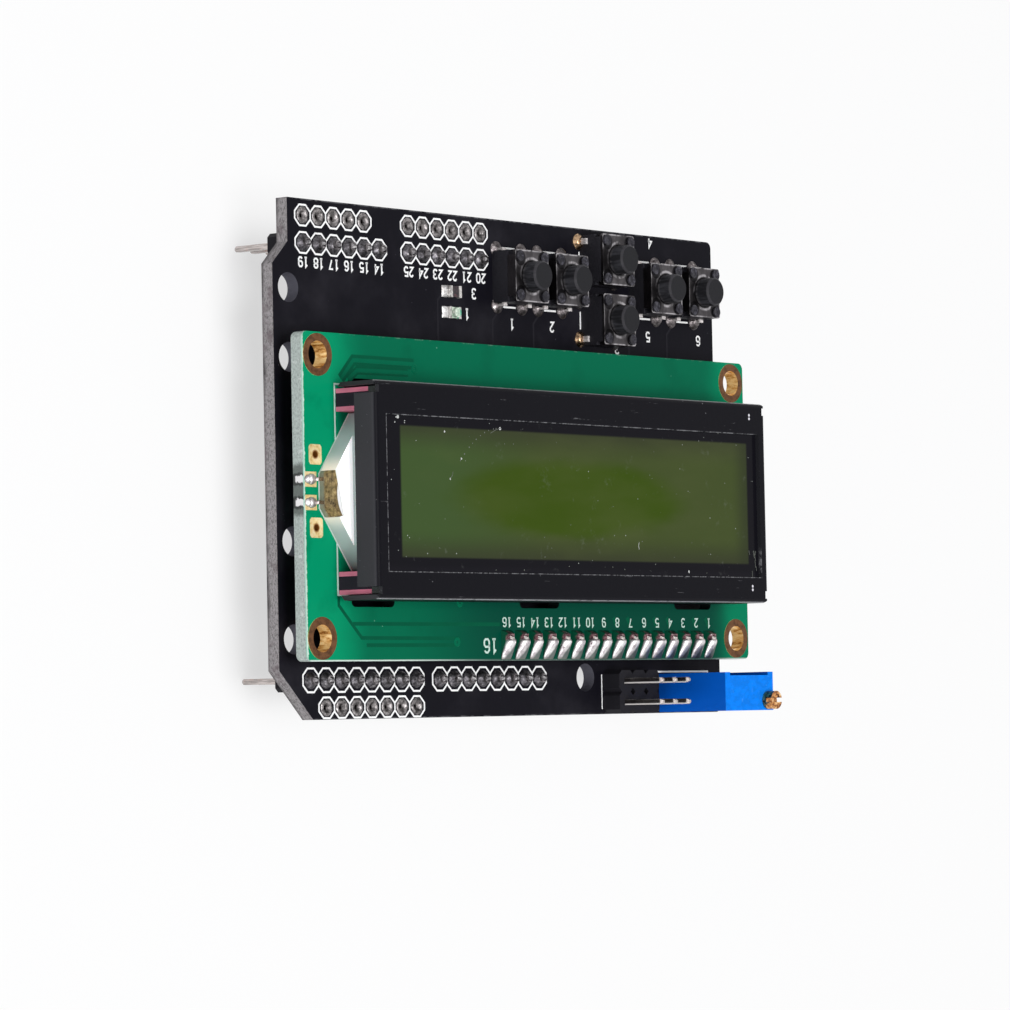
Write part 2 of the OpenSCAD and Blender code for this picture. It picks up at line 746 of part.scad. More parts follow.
module key_cover(k) {
    color([0.6, 0.58, 0.6]) key_place(k) difference() {
        union() {
            translate([0, 0, key_base_h]) rounded_plate(key_s, key_s, key_cover_t, 0.3);
            for (s = [-1, 1])
                translate([s * (key_s / 2 - key_cover_t / 2), 0, key_base_h - key_flange_h / 2 + eps])
                    cube([key_cover_t, key_s - 1.2, key_flange_h], center = true);
        }
        translate([0, 0, key_base_h - 1]) cylinder(r = plunger_r + plunger_fit, h = key_cover_t + 2);
        corner_posts() translate([0, 0, key_base_h - 1]) cylinder(r = post_r + post_fit, h = key_cover_t + 2);
    }
}

module key_plunger(k) {
    color([0.07, 0.07, 0.08]) key_place(k) rotate_extrude() polygon([
        [0, flange_z], [plunger_r + flange_over, flange_z],
        [plunger_r + flange_over, flange_z + flange_t], [plunger_r, flange_z + flange_t],
        [plunger_r, key_top - plunger_bevel], [plunger_r - plunger_bevel, key_top], [0, key_top],
    ]);
}

// Thin snap domes that rest on the floor of each base
module key_domes() {
    r = well_r - dome_fit;
    h = dome_top - key_floor;
    ball_r = (r * r + h * h) / (2 * h);
    color([0.75, 0.75, 0.74]) for (k = keys)
        key_place(k) translate([0, 0, key_floor]) intersection() {
            difference() {
                translate([0, 0, h - ball_r]) sphere(ball_r, $fn = 72);
                translate([0, 0, h - ball_r]) sphere(ball_r - dome_t, $fn = 72);
            }
            cylinder(r = 2 * r, h = 2 * h);
        }
}

module key_leg() {
    out = leg_span / 2 + leg_t / 2 - key_s / 2;
    translate([-leg_w / 2, -leg_t / 2, -board_t - pin_stub])
        cube([leg_w, leg_t, board_t + pin_stub + leg_z + leg_t]);
    translate([-leg_w / 2, leg_t / 2 - out, leg_z]) cube([leg_w, out, leg_t]);
}

module key_legs() {
    color([0.8, 0.8, 0.82]) for (k = keys)
        key_place(k) for (sx = [-1, 1], sy = [0, 1])
            rotate([0, 0, 180 * sy]) translate([sx * leg_pitch / 2, leg_span / 2, 0]) key_leg();
}

// 2 x 3 header

module aux_strip() {
    color([0.08, 0.08, 0.09]) moulded_strip(aux_xy, top_z, strip_h, pitch);
}

module aux_pins() {
    color([0.8, 0.72, 0.5]) at(aux_xy) square_pin(board_z - pin_stub, top_z + strip_h + aux_pin);
}

// Trimmer

module trim_place() {
    translate([trim_x, trim_y, top_z]) children();
}

module trimmer_housing() {
    rib_l = 1;
    color([0.05, 0.35, 0.85]) trim_place() {
        difference() {
            union() {
                translate([-trim_l / 2, -trim_w / 2 + trim_rib, trim_foot])
                    cube([trim_l, trim_w - trim_rib, trim_h - trim_foot]);
                for (x = [-trim_l / 2, trim_l / 2 - rib_l])
                    translate([x, -trim_w / 2, 0]) cube([rib_l, trim_w, trim_h]);
            }
            translate([-cavity_l / 2, cavity_y0, -eps])
                cube([cavity_l, cavity_y1 - cavity_y0, cavity_top + eps]);
            translate([screw_x, screw_y, cavity_top - eps])
                cylinder(r = shaft_r + shaft_fit, h = trim_wall + 1);
        }
        translate([rotor_x, cavity_y1 + eps, rotor_z]) rotate([90, 0, 0])
            cylinder(r = boss_r, h = cavity_y1 - screw_y + rotor_t / 2 + 0.4);
    }
}

module trimmer_screw() {
    head_gap = 0.05;
    color([0.75, 0.55, 0.25]) trim_place() translate([screw_x, screw_y, 0]) {
        translate([0, 0, seal_top + head_gap]) cylinder(r = worm_r, h = cavity_top - seal_top - 2 * head_gap);
        translate([0, 0, cavity_top - head_gap - eps])
            cylinder(r = shaft_r, h = trim_wall + 2 * head_gap + 2 * eps);
        translate([0, 0, trim_h + head_gap]) difference() {
            cylinder(d = screw_d, h = screw_h);
            translate([-2, -head_slot_w / 2, screw_h - slot_depth]) cube([4, head_slot_w, slot_depth + 1]);
        }
    }
}

function tooth(i) = let (step = 360 / rotor_teeth, root = rotor_r - 0.22) [
    for (q = [[-0.3, root], [-0.12, rotor_r], [0.12, rotor_r], [0.3, root]])
        [q[1] * cos((i + q[0]) * step), q[1] * sin((i + q[0]) * step)]
];

// The wiper's wheel turns on a boss of the housing and carries the contact that sweeps the element
module trimmer_rotor() {
    contact_r = 0.35;
    reach = screw_y - rotor_t / 2 - cavity_y0 - element_t - 0.1;
    color([0.9, 0.88, 0.8]) trim_place() translate([rotor_x, screw_y, rotor_z]) rotate([90, 0, 0]) {
        translate([0, 0, -rotor_t / 2]) difference() {
            linear_extrude(rotor_t) polygon([for (i = [0:rotor_teeth - 1]) each tooth(i)]);
            translate([0, 0, -1]) cylinder(r = boss_r + shaft_fit, h = rotor_t + 2);
        }
        translate([0, 0.6 * rotor_r, rotor_t / 2 - eps]) cylinder(r = contact_r, h = reach + eps);
    }
}

module trimmer_element() {
    color([0.92, 0.9, 0.84]) trim_place() translate([-cavity_l / 2 + plate_gap, cavity_y0, seal_top])
        cube([cavity_l - 2 * plate_gap, element_t, cavity_top - seal_top]);
}

module trimmer_seal() {
    color([0.05, 0.2, 0.5]) trim_place() difference() {
        translate([-cavity_l / 2, cavity_y0, trim_foot]) cube([cavity_l, cavity_y1 - cavity_y0, seal_h]);
        for (i = [-1:1])
            translate([i * pitch, element_y, trim_foot]) cube([pin_s * 0.7, pin_s * 0.7, 3], center = true);
    }
}

module trimmer_pins() {
    color([0.8, 0.8, 0.82]) at(trim_pins) square_pin(board_z - pin_stub, top_z + seal_top, pin_s * 0.7);
}

// Small parts between the pin rows and the display

module chip(h) {
    cap = chip_l * 0.2;
    union() {
        translate([-chip_l / 2, -chip_w / 2, 0]) cube([chip_l, chip_w, h]);
        for (s = [-1, 1])
            translate([s * (chip_l / 2 - cap / 2), 0, (h + 0.05) / 2])
                cube([cap, chip_w + 0.1, h + 0.05], center = true);
    }
}

module chip_resistor() {
    color([0.12, 0.12, 0.13]) translate([power_x - 3 * pitch, analogue_y + chip_gap, top_z]) chip(0.5);
}

module power_lamp() {
    color([0.85, 0.9, 0.7]) translate([power_x - 3 * pitch, analogue_y + chip_gap + lamp_gap, top_z]) union() {
        chip(0.35);
        cylinder(d = chip_w * 0.9, h = 0.8);
    }
}

carrier_board();
lower_strip(analogue_xy);  // analogue_strip
lower_strip(power_xy);  // power_strip
lower_strip(digital_low_xy);  // digital_low_strip
lower_strip(digital_high_xy);  // digital_high_strip
lower_pins(analogue_xy);  // analogue_pins
lower_pins(power_xy);  // power_pins
lower_pins(digital_low_xy);  // digital_low_pins
lower_pins(digital_high_xy);  // digital_high_pins
row_solder();
display_board();
plated_rings();
display_strip();
display_pins();
display_solder();
driver_chips();
reflector_sheet();
light_guide();
backlight_lamp();
lamp_leads();
diffuser_sheet();
rear_polariser();
rear_glass();
front_glass();
front_polariser();
contact_strip(-1);  // lower_contact_strip
contact_strip(1);  // upper_contact_strip
contact_skins();
bezel();
for (k = keys) {
    key_base(k);
    key_cover(k);
    key_plunger(k);
}
key_domes();
key_legs();
aux_strip();
aux_pins();
trimmer_housing();
trimmer_screw();
trimmer_rotor();
trimmer_element();
trimmer_seal();
trimmer_pins();
chip_resistor();
power_lamp();
rear_solder();
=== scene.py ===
"""Finishes and fine pieces of a character display with six push buttons on its carrier board."""

import math
import random
from functools import cached_property
from types import SimpleNamespace

import bmesh
import bpy
from bpy.props import FloatProperty, FloatVectorProperty, PointerProperty
from mathutils import Matrix, Vector


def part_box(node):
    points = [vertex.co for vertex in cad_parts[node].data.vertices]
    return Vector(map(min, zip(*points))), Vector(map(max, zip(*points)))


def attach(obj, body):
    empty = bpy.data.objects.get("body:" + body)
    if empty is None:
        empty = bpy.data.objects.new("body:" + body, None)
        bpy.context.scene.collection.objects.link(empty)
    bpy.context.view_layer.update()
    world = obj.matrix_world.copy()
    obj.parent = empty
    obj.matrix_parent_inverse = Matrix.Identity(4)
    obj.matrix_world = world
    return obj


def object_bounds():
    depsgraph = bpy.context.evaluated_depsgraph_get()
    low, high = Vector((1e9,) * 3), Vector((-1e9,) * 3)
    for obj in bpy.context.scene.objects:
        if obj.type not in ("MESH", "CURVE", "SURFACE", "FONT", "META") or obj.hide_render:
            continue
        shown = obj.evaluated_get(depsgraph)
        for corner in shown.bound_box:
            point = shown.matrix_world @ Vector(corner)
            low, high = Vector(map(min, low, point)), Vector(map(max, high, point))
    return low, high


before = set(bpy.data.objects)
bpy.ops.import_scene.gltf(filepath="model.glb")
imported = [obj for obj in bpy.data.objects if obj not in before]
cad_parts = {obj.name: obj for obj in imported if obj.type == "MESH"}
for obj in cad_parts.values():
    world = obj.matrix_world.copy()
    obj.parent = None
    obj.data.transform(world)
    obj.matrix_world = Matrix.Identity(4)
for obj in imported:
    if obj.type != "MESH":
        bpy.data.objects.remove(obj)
CAD_BOX = [list(corner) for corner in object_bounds()]

bl_info = {
    "name": "Display and keypad board",
    "version": (1, 0, 0),
    "blender": (4, 5, 0),
    "location": "3D View > Sidebar > Keypad board",
    "description": "Finishes, printed lines, pads and solder of a display and keypad board",
    "category": "Object",
}

MM = 0.001
PITCH = 2.54
HALF_PITCH = PITCH / 2
KEYS = ("reset", "right", "up", "down", "left", "select")
TURNED_KEYS = ("up", "down")
ROWS = {"analogue": 6, "power": 6, "digital_low": 8, "digital_high": 8}
DISPLAY_PINS = 16
CORNERS = ((-1, -1), (1, -1), (1, 1), (-1, 1))
RIVET = 2.05  # from a key's middle to its rivets, along both sides
LAMP_PAD = (1.85, 4.0)  # a lamp pad's middle, from the display board's end and from the bezel's middle
BLACK = (0.0, 0.0, 0.0)

# Strokes of the digits, in a cell 100 wide and CELL high
CELL = 140
DIGITS = {
    "0": ["10,25 10,115 35,140 65,140 90,115 90,25 65,0 35,0 10,25"],
    "1": ["25,110 55,140 55,0", "30,0 80,0"],
    "2": ["10,115 35,140 65,140 90,115 90,90 10,0 90,0"],
    "3": ["10,120 30,140 70,140 90,120 90,90 70,72 40,72", "70,72 90,50 90,20 70,0 30,0 10,20"],
    "4": ["75,0 75,140 10,45 95,45"],
    "5": ["85,140 15,140 10,80 65,85 90,60 90,25 65,0 30,0 10,20"],
    "6": ["85,120 65,140 35,140 10,115 10,25 30,0 70,0 90,20 90,60 70,80 30,80 10,60"],
    "7": ["10,140 90,140 40,0"],
    "8": ["30,76 12,95 12,120 32,140 68,140 88,120 88,95 70,76 "
          "30,76 10,50 10,20 32,0 68,0 90,20 90,50 70,76"],
    "9": ["15,20 35,0 70,0 90,25 90,115 70,140 30,140 10,120 10,80 30,60 70,60 90,80"],
}


# ---------------------------------------------------------------- sizes and colours


def colour(name, what, default):
    """A colour that a user may change."""
    text = "Colour of " + what
    return FloatVectorProperty(name=name, description=text, default=default, subtype="COLOR", min=0, max=1)


def length(name, description, default_mm, least_mm=0.0):
    """A length that a user may change, kept in metres."""
    return FloatProperty(name=name, description=description, default=default_mm * MM, min=least_mm * MM,
                         unit="LENGTH", precision=5)


def in_mm(group):
    """The lengths of a group, in millimetres."""
    return SimpleNamespace(**{name: getattr(group, name) / MM for name in group.__annotations__})


class BoardColours(bpy.types.PropertyGroup):
    """Colours of the two boards and of what is printed and plated on them"""

    black_mask: colour("Black mask", "the carrier board's lacquer", (0.0060, 0.0056, 0.0088))
    # black_sheen also serves as the painted sheen in the lighter clouds of the carrier's lacquer.
    black_sheen: colour(
        "Black mask, thin", "the lacquer where it lies thinly on copper", (0.017, 0.016, 0.021))
    carrier_edge: colour("Carrier edge", "the carrier board's cut edge", (0.33, 0.31, 0.315))
    green_mask: colour("Green mask", "the display board's lacquer on bare laminate", (0.0004, 0.135, 0.066))
    green_copper: colour(
        "Green mask on copper", "the lacquer where copper lies under it", (0.001, 0.27, 0.125))
    display_edge: colour("Display edge", "the display board's cut edge", (0.46, 0.52, 0.49))
    print_white: colour("Print", "the printed lines", (0.9, 0.9, 0.9))
    copper: colour("Copper", "the rings round the display's holes", (0.16, 0.07, 0.028))
    gold: colour("Gold", "plated pads", (0.90, 0.68, 0.32))
    tin: colour("Tin", "solder", (0.62, 0.61, 0.61))


class PartColours(bpy.types.PropertyGroup):
    """Colours of the parts on the boards"""

    bezel: colour("Bezel", "the bezel's paint", (0.0055, 0.0053, 0.0078))
    border: colour("Window border", "the strip round the viewing area", (0.0068, 0.0064, 0.0092))
    green_view: colour("Viewing area", "the viewing area", (0.037, 0.069, 0.0035))
    guide: colour("Light guide", "the light guide's top", (0.86, 0.865, 0.87))
    guide_side: colour("Light guide side", "the light guide's sides", (0.70, 0.80, 0.77))
    lamp: colour("Backlight lamp", "the lamp on the nose", (0.30, 0.215, 0.095))
    skin: colour("Contact skin", "the soft skins", (0.76, 0.20, 0.31))
    contact: colour("Contact strip", "the elastic contact strips", (0.022, 0.016, 0.026))
    steel: colour("Key cover", "the push buttons' covers", (0.066, 0.061, 0.065))
    moulding: colour("Moulding", "black mouldings", (0.026, 0.025, 0.031))
    plunger: colour("Plunger", "the push buttons' plungers", (0.027, 0.027, 0.031))
    housing: colour("Trimmer", "the trimmer's housing", (0.002, 0.23, 0.95))
    brass: colour("Brass", "the trimmer's screw", (0.42, 0.17, 0.06))
    pin: colour("Pin", "the pins", (0.62, 0.56, 0.54))


class FineSizes(bpy.types.PropertyGroup):
    """Sizes of the fine pieces"""

    print_w: length("Print width", "Width of a printed line", 0.215)
    print_t: length("Print thickness", "Thickness of the print", 0.02)
    octagon_w: length("Octagon width", "Width of a printed octagon round a pad", 2.54)
    octagon_h: length("Octagon height", "Height of a printed octagon of the analogue and power rows", 2.3)
    octagon_tall: length("Tall octagon height", "Height of a printed octagon of the digital rows", 2.62)
    octagon_cut: length("Octagon corner", "Corner cut of a printed octagon", 0.74)
    digit_h: length("Digit height", "Height of the printed digits", 1.1)
    digit_w: length("Digit stroke", "Width of a digit's stroke", 0.21)
    pad_d: length("Pad diameter", "Diameter of a row's pads", 1.92)
    pad_t: length("Pad thickness", "Thickness of a gold pad", 0.035)
    leg_pad_d: length("Leg pad diameter", "Diameter of the pads of the push buttons' legs", 1.95)
    lamp_pad: length("Lamp pad side", "Side of the square gold pads beside the nose", 2.35)
    lead_pad: length("Lead pad side", "Side of the gold pads under the lamp's leads", 1.85)
    trace_w: length("Trace width", "Width of a trace", 0.45)
    gap_w: length("Gap width", "Width of the bare gap beside a trace", 1.0)
    spare_gap: length("Spare row gap", "Distance from a fitted row to its spare row", 3.04)
    view_l: length("Viewing length", "Length of the viewing area", 63.2)
    view_w: length("Viewing width", "Width of the viewing area", 14.4)
    view_shift_x: length("Viewing area, shift along X", "Offset of the viewing area along X", -0.7, -5)
    view_shift_y: length("Viewing area, shift along Y", "Offset of the viewing area along Y", 0.1, -5)


class StageSizes(bpy.types.PropertyGroup):
    """Camera, lamps and floor"""

    camera_place: FloatVectorProperty(
        name="Camera", description="Place of the camera", default=(0.41366, 0.02865, 0.35197),
        subtype="TRANSLATION", unit="LENGTH", precision=5)
    lens: FloatProperty(
        name="Lens", description="Focal length of the camera", default=165.35, min=10, unit="CAMERA")
    top_lamp: FloatProperty(
        name="Top lamp", description="Power of the large lamp above", default=7.6, min=0, unit="POWER")
    side_lamp: FloatProperty(
        name="Side lamp", description="Power of the weak lamp at the side", default=2.2, min=0, unit="POWER")
    sky: FloatProperty(
        name="Surroundings", description="Strength of the light from all round", default=0.34, min=0)
    floor: colour("Floor", "the floor", (0.80, 0.80, 0.81))


# ---------------------------------------------------------------- finishes


class Value:
    """An output of a node, used in sums."""

    def __init__(self, finish, socket):
        self.finish, self.socket = finish, socket

    @property
    def wide(self):
        return self.socket.type in ("VECTOR", "RGBA")

    def _sum(self, operation, left, right):
        if any(isinstance(v, Value) and v.wide or isinstance(v, (tuple, Vector)) for v in (left, right)):
            sides = [(v, v, v) if isinstance(v, (int, float)) else v for v in (left, right)]
            return self.finish.add("VectorMath", {"operation": operation}, {0: sides[0], 1: sides[1]})
        return self.finish.add("Math", {"operation": operation}, {0: left, 1: right})

    def __add__(self, other):
        return self._sum("ADD", self, other)

    __radd__ = __add__

    def __sub__(self, other):
        return self._sum("SUBTRACT", self, other)

    def __rsub__(self, other):
        return self._sum("SUBTRACT", other, self)

    def __mul__(self, other):
        return self._sum("MULTIPLY", self, other)

    __rmul__ = __mul__

    def __truediv__(self, other):
        return self._sum("DIVIDE", self, other)

    def __abs__(self):
        return self.finish.add("Math", {"operation": "ABSOLUTE"}, {0: self})

    def most(self, other):
        return self._sum("MAXIMUM", self, other)

    def least(self, other):
        return self._sum("MINIMUM", self, other)

    def other(self, output):
        """Another output of the same node."""
        return Value(self.finish, self.socket.node.outputs[output])


class Finish:
    """A material, and the nodes that make it. Places and sizes are in millimetres."""

    def __init__(self, name, **settings):
        self.material = bpy.data.materials.new(name)
        self.material.use_nodes = True
        self.tree = self.material.node_tree
        self.tree.nodes.clear()
        self.shader = self.tree.nodes.new("ShaderNodeBsdfPrincipled")
        self.out = self.tree.nodes.new("ShaderNodeOutputMaterial")
        self.tree.links.new(self.shader.outputs["BSDF"], self.out.inputs["Surface"])
        self.set(**settings)

    def set(self, **settings):
        """Sets or links sockets of the shader: base_color becomes Base Color."""
        words = {"ior": "IOR", "specular": "Specular IOR Level"}
        for key, value in settings.items():
            self.put(self.shader.inputs[words.get(key, key.replace("_", " ").title())], value)

    def put(self, socket, value):
        if isinstance(value, Value):
            self.tree.links.new(value.socket, socket)
        elif socket.type == "RGBA" and len(value) == 3:
            socket.default_value = (*value, 1)
        else:
            socket.default_value = value

    def add(self, kind, settings=None, values=None, output=0):
        """Adds a node: its settings first, then the values or links of its sockets."""
        node = self.tree.nodes.new("ShaderNode" + kind)
        for key, value in (settings or {}).items():
            if key == "stops":
                stops = node.color_ramp.elements
                while len(stops) < len(value):
                    stops.new(0.5)
                for stop, (place, tone) in zip(stops, value):
                    stop.position, stop.color = place, (*tone, 1)
            else:
                setattr(node, key, value)
        for key, value in (values or {}).items():
            self.put(node.inputs[key], value)
        return Value(self, node.outputs[output])

    def axes(self, vector):
        """The three numbers of a vector."""
        split = self.add("SeparateXYZ", None, {0: vector})
        return split, split.other("Y"), split.other("Z")

    @cached_property
    def place(self):
        """The place on the part."""
        return self.add("TexCoord", output="Object") * (1 / MM)

    @cached_property
    def xyz(self):
        """The three numbers of the place on the part."""
        return self.axes(self.place)

    @cached_property
    def up(self):
        """1 where the surface faces up or down, 0 on upright walls."""
        return abs(self.axes(self.add("TexCoord", output="Normal"))[2])

    @cached_property
    def level(self):
        """1 on level faces, 0 on sloping and upright ones."""
        return self.step(self.up, 0.4, 0.6)

    def noise(self, size, detail=3.0, rough=0.5, by=None):
        """Cloudy noise from 0 to 1 with patches of about size, stretched by three factors if given."""
        place = self.place * by if by else self.place
        values = {"Vector": place, "Scale": 1.0 / size, "Detail": detail, "Roughness": rough}
        return self.add("TexNoise", None, values)

    def far(self, x, y):
        """Distance from an upright axis."""
        values = {0: self.place * (1.0, 1.0, 0.0), 1: (x, y, 0)}
        return self.add("VectorMath", {"operation": "DISTANCE"}, values, "Value")

    def size(self, vector):
        """Length of a vector."""
        return self.add("VectorMath", {"operation": "LENGTH"}, {0: vector}, "Value")

    def wrap(self, value):
        """Distance from the nearest of places one pitch apart, with its sign."""
        return self.add("Math", {"operation": "WRAP"}, {0: value, 1: HALF_PITCH, 2: -HALF_PITCH})

    def step(self, value, low, high):
        """0 below low, 1 above high, and a soft step between them."""
        return self.add("MapRange", {"interpolation_type": "SMOOTHSTEP"}, {0: value, 1: low, 2: high})

    def specks(self, apart, size, cloud, where=(0.45, 0.6)):
        """Specks at scattered points about apart from each other, where a cloudy noise is strong."""
        cells = self.add("TexVoronoi", None, {"Vector": self.place, "Scale": 1.0 / apart}, "Distance")
        return self.step(cells, *size) * self.step(self.noise(cloud, 2), *where)

    def blend(self, factor, first, second):
        """first where factor is 0, second where it is 1. A plain number stands for a grey."""
        first, second = ((v,) * 3 if isinstance(v, float) else v for v in (first, second))
        return self.add("Mix", {"data_type": "RGBA"}, {0: factor, 6: first, 7: second}, 2)

    def tones(self, factor, *stops):
        """A colour for every factor, from stops of place and colour."""
        return self.add("ValToRGB", {"stops": stops}, {0: factor})

    def close(self, tone, rough=None, relief=None, **settings):
        """Sets the colour, the roughness from (factor, first, second) and the relief from (height, depth)."""
        self.set(base_color=tone, **settings)
        if rough:
            self.set(roughness=self.blend(*rough))
        if relief:
            height, depth = relief
            values = {"Height": height, "Distance": depth * MM, "Strength": 1.0}
            self.set(normal=self.add("Bump", None, values))
        return self


def shade(tone, factor):
    """A colour made darker or lighter."""
    return tuple(min(1.0, c * factor) for c in tone)


def dress(finish, *nodes):
    """Puts a finish on all slots of CAD nodes."""
    for name in nodes:
        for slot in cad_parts[name].material_slots:
            slot.material = finish.material


# ---------------------------------------------------------------- mesh work, in millimetres


def ends(node):
    """Lowest and highest corner of a CAD node."""
    return [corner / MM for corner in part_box(node)]


def low(node):
    return ends(node)[0]


def high(node):
    return ends(node)[1]


def middle(node):
    a, b = ends(node)
    return (a + b) / 2


def row_places(node, count):
    """Middles of the pins of a row, from its +X end."""
    a, b = ends(node)
    half = (b.y - a.y) / 2
    first, last = b.x - half, a.x + half
    return [(first + (last - first) * i / (count - 1), a.y + half) for i in range(count)]


def piece(name, finish, make, smooth=False, body="board"):
    """A new object from a function that fills a mesh in millimetres. It rides on a body."""
    mesh = bmesh.new()
    make(mesh)
    bmesh.ops.recalc_face_normals(mesh, faces=mesh.faces)
    data = bpy.data.meshes.new(name)
    mesh.to_mesh(data)
    mesh.free()
    data.transform(Matrix.Scale(MM, 4))
    for face in data.polygons:
        face.use_smooth = smooth
    data.materials.append(finish.material)
    obj = bpy.data.objects.new(name, data)
    bpy.context.scene.collection.objects.link(obj)
    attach(obj, body)


def ribbon(mesh, points, width, base, top, closed=False):
    """A flat band along points, from the height base to the height top."""
    points = [Vector(p) for p in points]
    count = len(points)
    edges = []
    for i, point in enumerate(points):
        before = points[i - 1] if closed or i else None
        after = points[(i + 1) % count] if closed or i < count - 1 else None
        ways = ((point - before) if before else None, (after - point) if after else None)
        ways = [way.normalized() for way in ways if way]
        way = sum(ways, Vector((0, 0))).normalized()
        side = Vector((-way.y, way.x))
        reach = width / 2 / max(0.4, side.dot(Vector((-ways[0].y, ways[0].x))))
        edges.append((point + side * reach, point - side * reach))
    tops, bases = ([[mesh.verts.new((*p, z)) for p in pair] for pair in edges] for z in (top, base))
    for i in range(count if closed else count - 1):
        j = (i + 1) % count
        mesh.faces.new((tops[i][0], tops[j][0], tops[j][1], tops[i][1]))
        mesh.faces.new((bases[i][0], bases[j][0], tops[j][0], tops[i][0]))
        mesh.faces.new((bases[j][1], bases[i][1], tops[i][1], tops[j][1]))
    if not closed:
        for i in (0, count - 1):
            mesh.faces.new((bases[i][0], bases[i][1], tops[i][1], tops[i][0]))


def plate(mesh, points, base, top):
    """A flat plate with a straight outline."""
    loft(mesh, [[(*p, z) for p in points] for z in (top, base)], (0,))


def rectangle(x, y, along, up):
    """Corners of a rectangle from its middle and its sides."""
    return [(x + sx * along / 2, y + sy * up / 2) for sx, sy in CORNERS]


def turned(mesh, x, y, profile, around=28, squeeze=1.0, caps=()):
    """A shape turned about an upright axis from a profile of radii and heights."""
    turns = [math.tau * i / around for i in range(around)]
    rings = [[(x + r * math.cos(a) * squeeze, y + r * math.sin(a), z) for a in turns] for r, z in profile]
    loft(mesh, rings, caps)


def loft(mesh, loops, caps=(0, -1)):
    """Joins loops of as many points each, and closes the loops named in caps."""
    rings = [[mesh.verts.new(p) for p in loop] for loop in loops]
    count = len(rings[0])
    for first, second in zip(rings, rings[1:]):
        for i in range(count):
            j = (i + 1) % count
            mesh.faces.new((first[i], first[j], second[j], second[i]))
    for i in caps:
        mesh.faces.new(rings[i])


def digits(mesh, word, x, y, height, width, base, top):
    """Plain digits with their middle at x, y."""
    scale = height / CELL
    step = scale * 125
    left, bottom = x - (len(word) * step - scale * 25) / 2, y - height / 2
    for i, digit in enumerate(word):
        for stroke in DIGITS[digit]:
            corners = [[int(v) * scale for v in corner.split(",")] for corner in stroke.split()]
            ribbon(mesh, [(left + i * step + a, bottom + b) for a, b in corners], width, base, top)


def octagon(x, y, width, height, cut):
    """Corners of a tall octagon."""
    a, b = width / 2, height / 2
    return [(x + sx * px, y + sy * py) for sx, sy, px, py in (
        (-1, 1, a - cut, b), (1, 1, a - cut, b), (1, 1, a, b - cut), (1, -1, a, b - cut),
        (1, -1, a - cut, b), (-1, -1, a - cut, b), (-1, -1, a, b - cut), (-1, 1, a, b - cut))]


def key_legs(name):
    """Places of a push button's four legs."""
    centre = middle(name + "_base")
    across, along = (3.25, 2.25) if name in TURNED_KEYS else (2.25, 3.25)
    return [(centre.x + sx * across, centre.y + sy * along) for sx in (-1, 1) for sy in (-1, 1)]


def outer_leg(key):
    """Place of the leg of a turned push button that has a golden fillet."""
    return max(x for x, _ in key_legs(key)), (min if key == "down" else max)(y for _, y in key_legs(key))


def spare_places(gap):
    """Places of the spare holes beside the rows."""
    out = []
    for row, count, skip, away in (("analogue", 5, 0, -1), ("power", 6, 0, -1), ("digital_low", 7, 1, 1)):
        out += [(x, y + away * gap) for x, y in row_places(row + "_pins", ROWS[row])[skip:skip + count]]
    return out


# ---------------------------------------------------------------- finishes of this board


def long_rim(f, node, width):
    """1 in a narrow band just inside a node's long edges, 0 elsewhere."""
    a, b = ends(node)
    half = (b.y - a.y) / 2
    return f.step(abs(f.xyz[1] - (a.y + b.y) / 2), half - width * 1.5, half - width * 0.5)


def spots(f, centres, outer, inner):
    """1 within the distance inner of any centre, 0 beyond outer."""
    total = 0.0
    for centre in centres:
        total = f.step(f.far(*centre), outer, inner) + total
    return total


def board_holes():
    """Places of the holes that show the carrier board's cut laminate."""
    first, end = row_places("analogue_pins", ROWS["analogue"])[0], high("carrier_board").x
    row = row_places("digital_low_pins", ROWS["digital_low"])[0]
    own = [(end - PITCH, first[1] + pitches * PITCH) for pitches in (2, 13)]
    own.append((first[0] - 19 * PITCH, row[1]))
    a, b = ends("plated_rings")
    inset = 2.5
    return own + [(x, y) for x in (a.x + inset, b.x - inset) for y in (a.y + inset, b.y - inset)]


def black_board_finish(tones):
    """Black lacquer with lighter clouds that are partly thin lacquer and partly painted sheen, over laminate
    whose cut edge is grey and fibrous.
    """
    f = Finish("black_mask", specular=0.035)
    cloud = f.noise(11, 4, 0.6)
    # Lighter clouds: mottled lacquer and painted sheen.
    mask = f.blend(f.step(cloud, 0.45, 0.75), tones.black_mask[:], tones.black_sheen[:])
    mask = f.blend(f.specks(1.7, (0.05, 0.02), 9), mask, shade(tones.black_sheen, 4.0))
    # A pale line just inside the long edges: partly worn lacquer, partly a painted edge highlight.
    worn = long_rim(f, "carrier_board", 0.14) * f.step(f.noise(1.2, 3, 0.7), 0.4, 0.6)
    mask = f.blend(worn * 0.7, mask, (0.14, 0.14, 0.15))
    fibre, blotch = f.noise(0.4, 4, 0.75, (1.0, 1.0, 2.0)), f.noise(2.6, 3, 0.6)
    # The cut edge is darker towards its bottom.
    upper_edge = f.step(f.xyz[2] + blotch * 1.4, 9.0, 9.75)
    cut = f.blend(upper_edge, shade(tones.carrier_edge, 0.1), tones.carrier_edge[:])
    cut = f.blend(f.step(fibre, 0.44, 0.66), cut, shade(tones.carrier_edge, 0.36))
    cut = f.blend(f.step(blotch, 0.54, 0.68) * 0.6, cut, (0.12, 0.09, 0.10))
    # Painted shade: the walls of the holes are darker than the outer edge.
    cut = f.blend(spots(f, board_holes(), 2.15, 1.85).least(1.0), cut, (0.10, 0.098, 0.12))
    grain = f.noise(0.5, 2) * f.level + fibre * (1 - f.level) * 5
    return f.close(f.blend(f.level, cut, mask), (f.level, 0.85, f.blend(cloud, 0.34, 0.5)), (grain, 0.012))


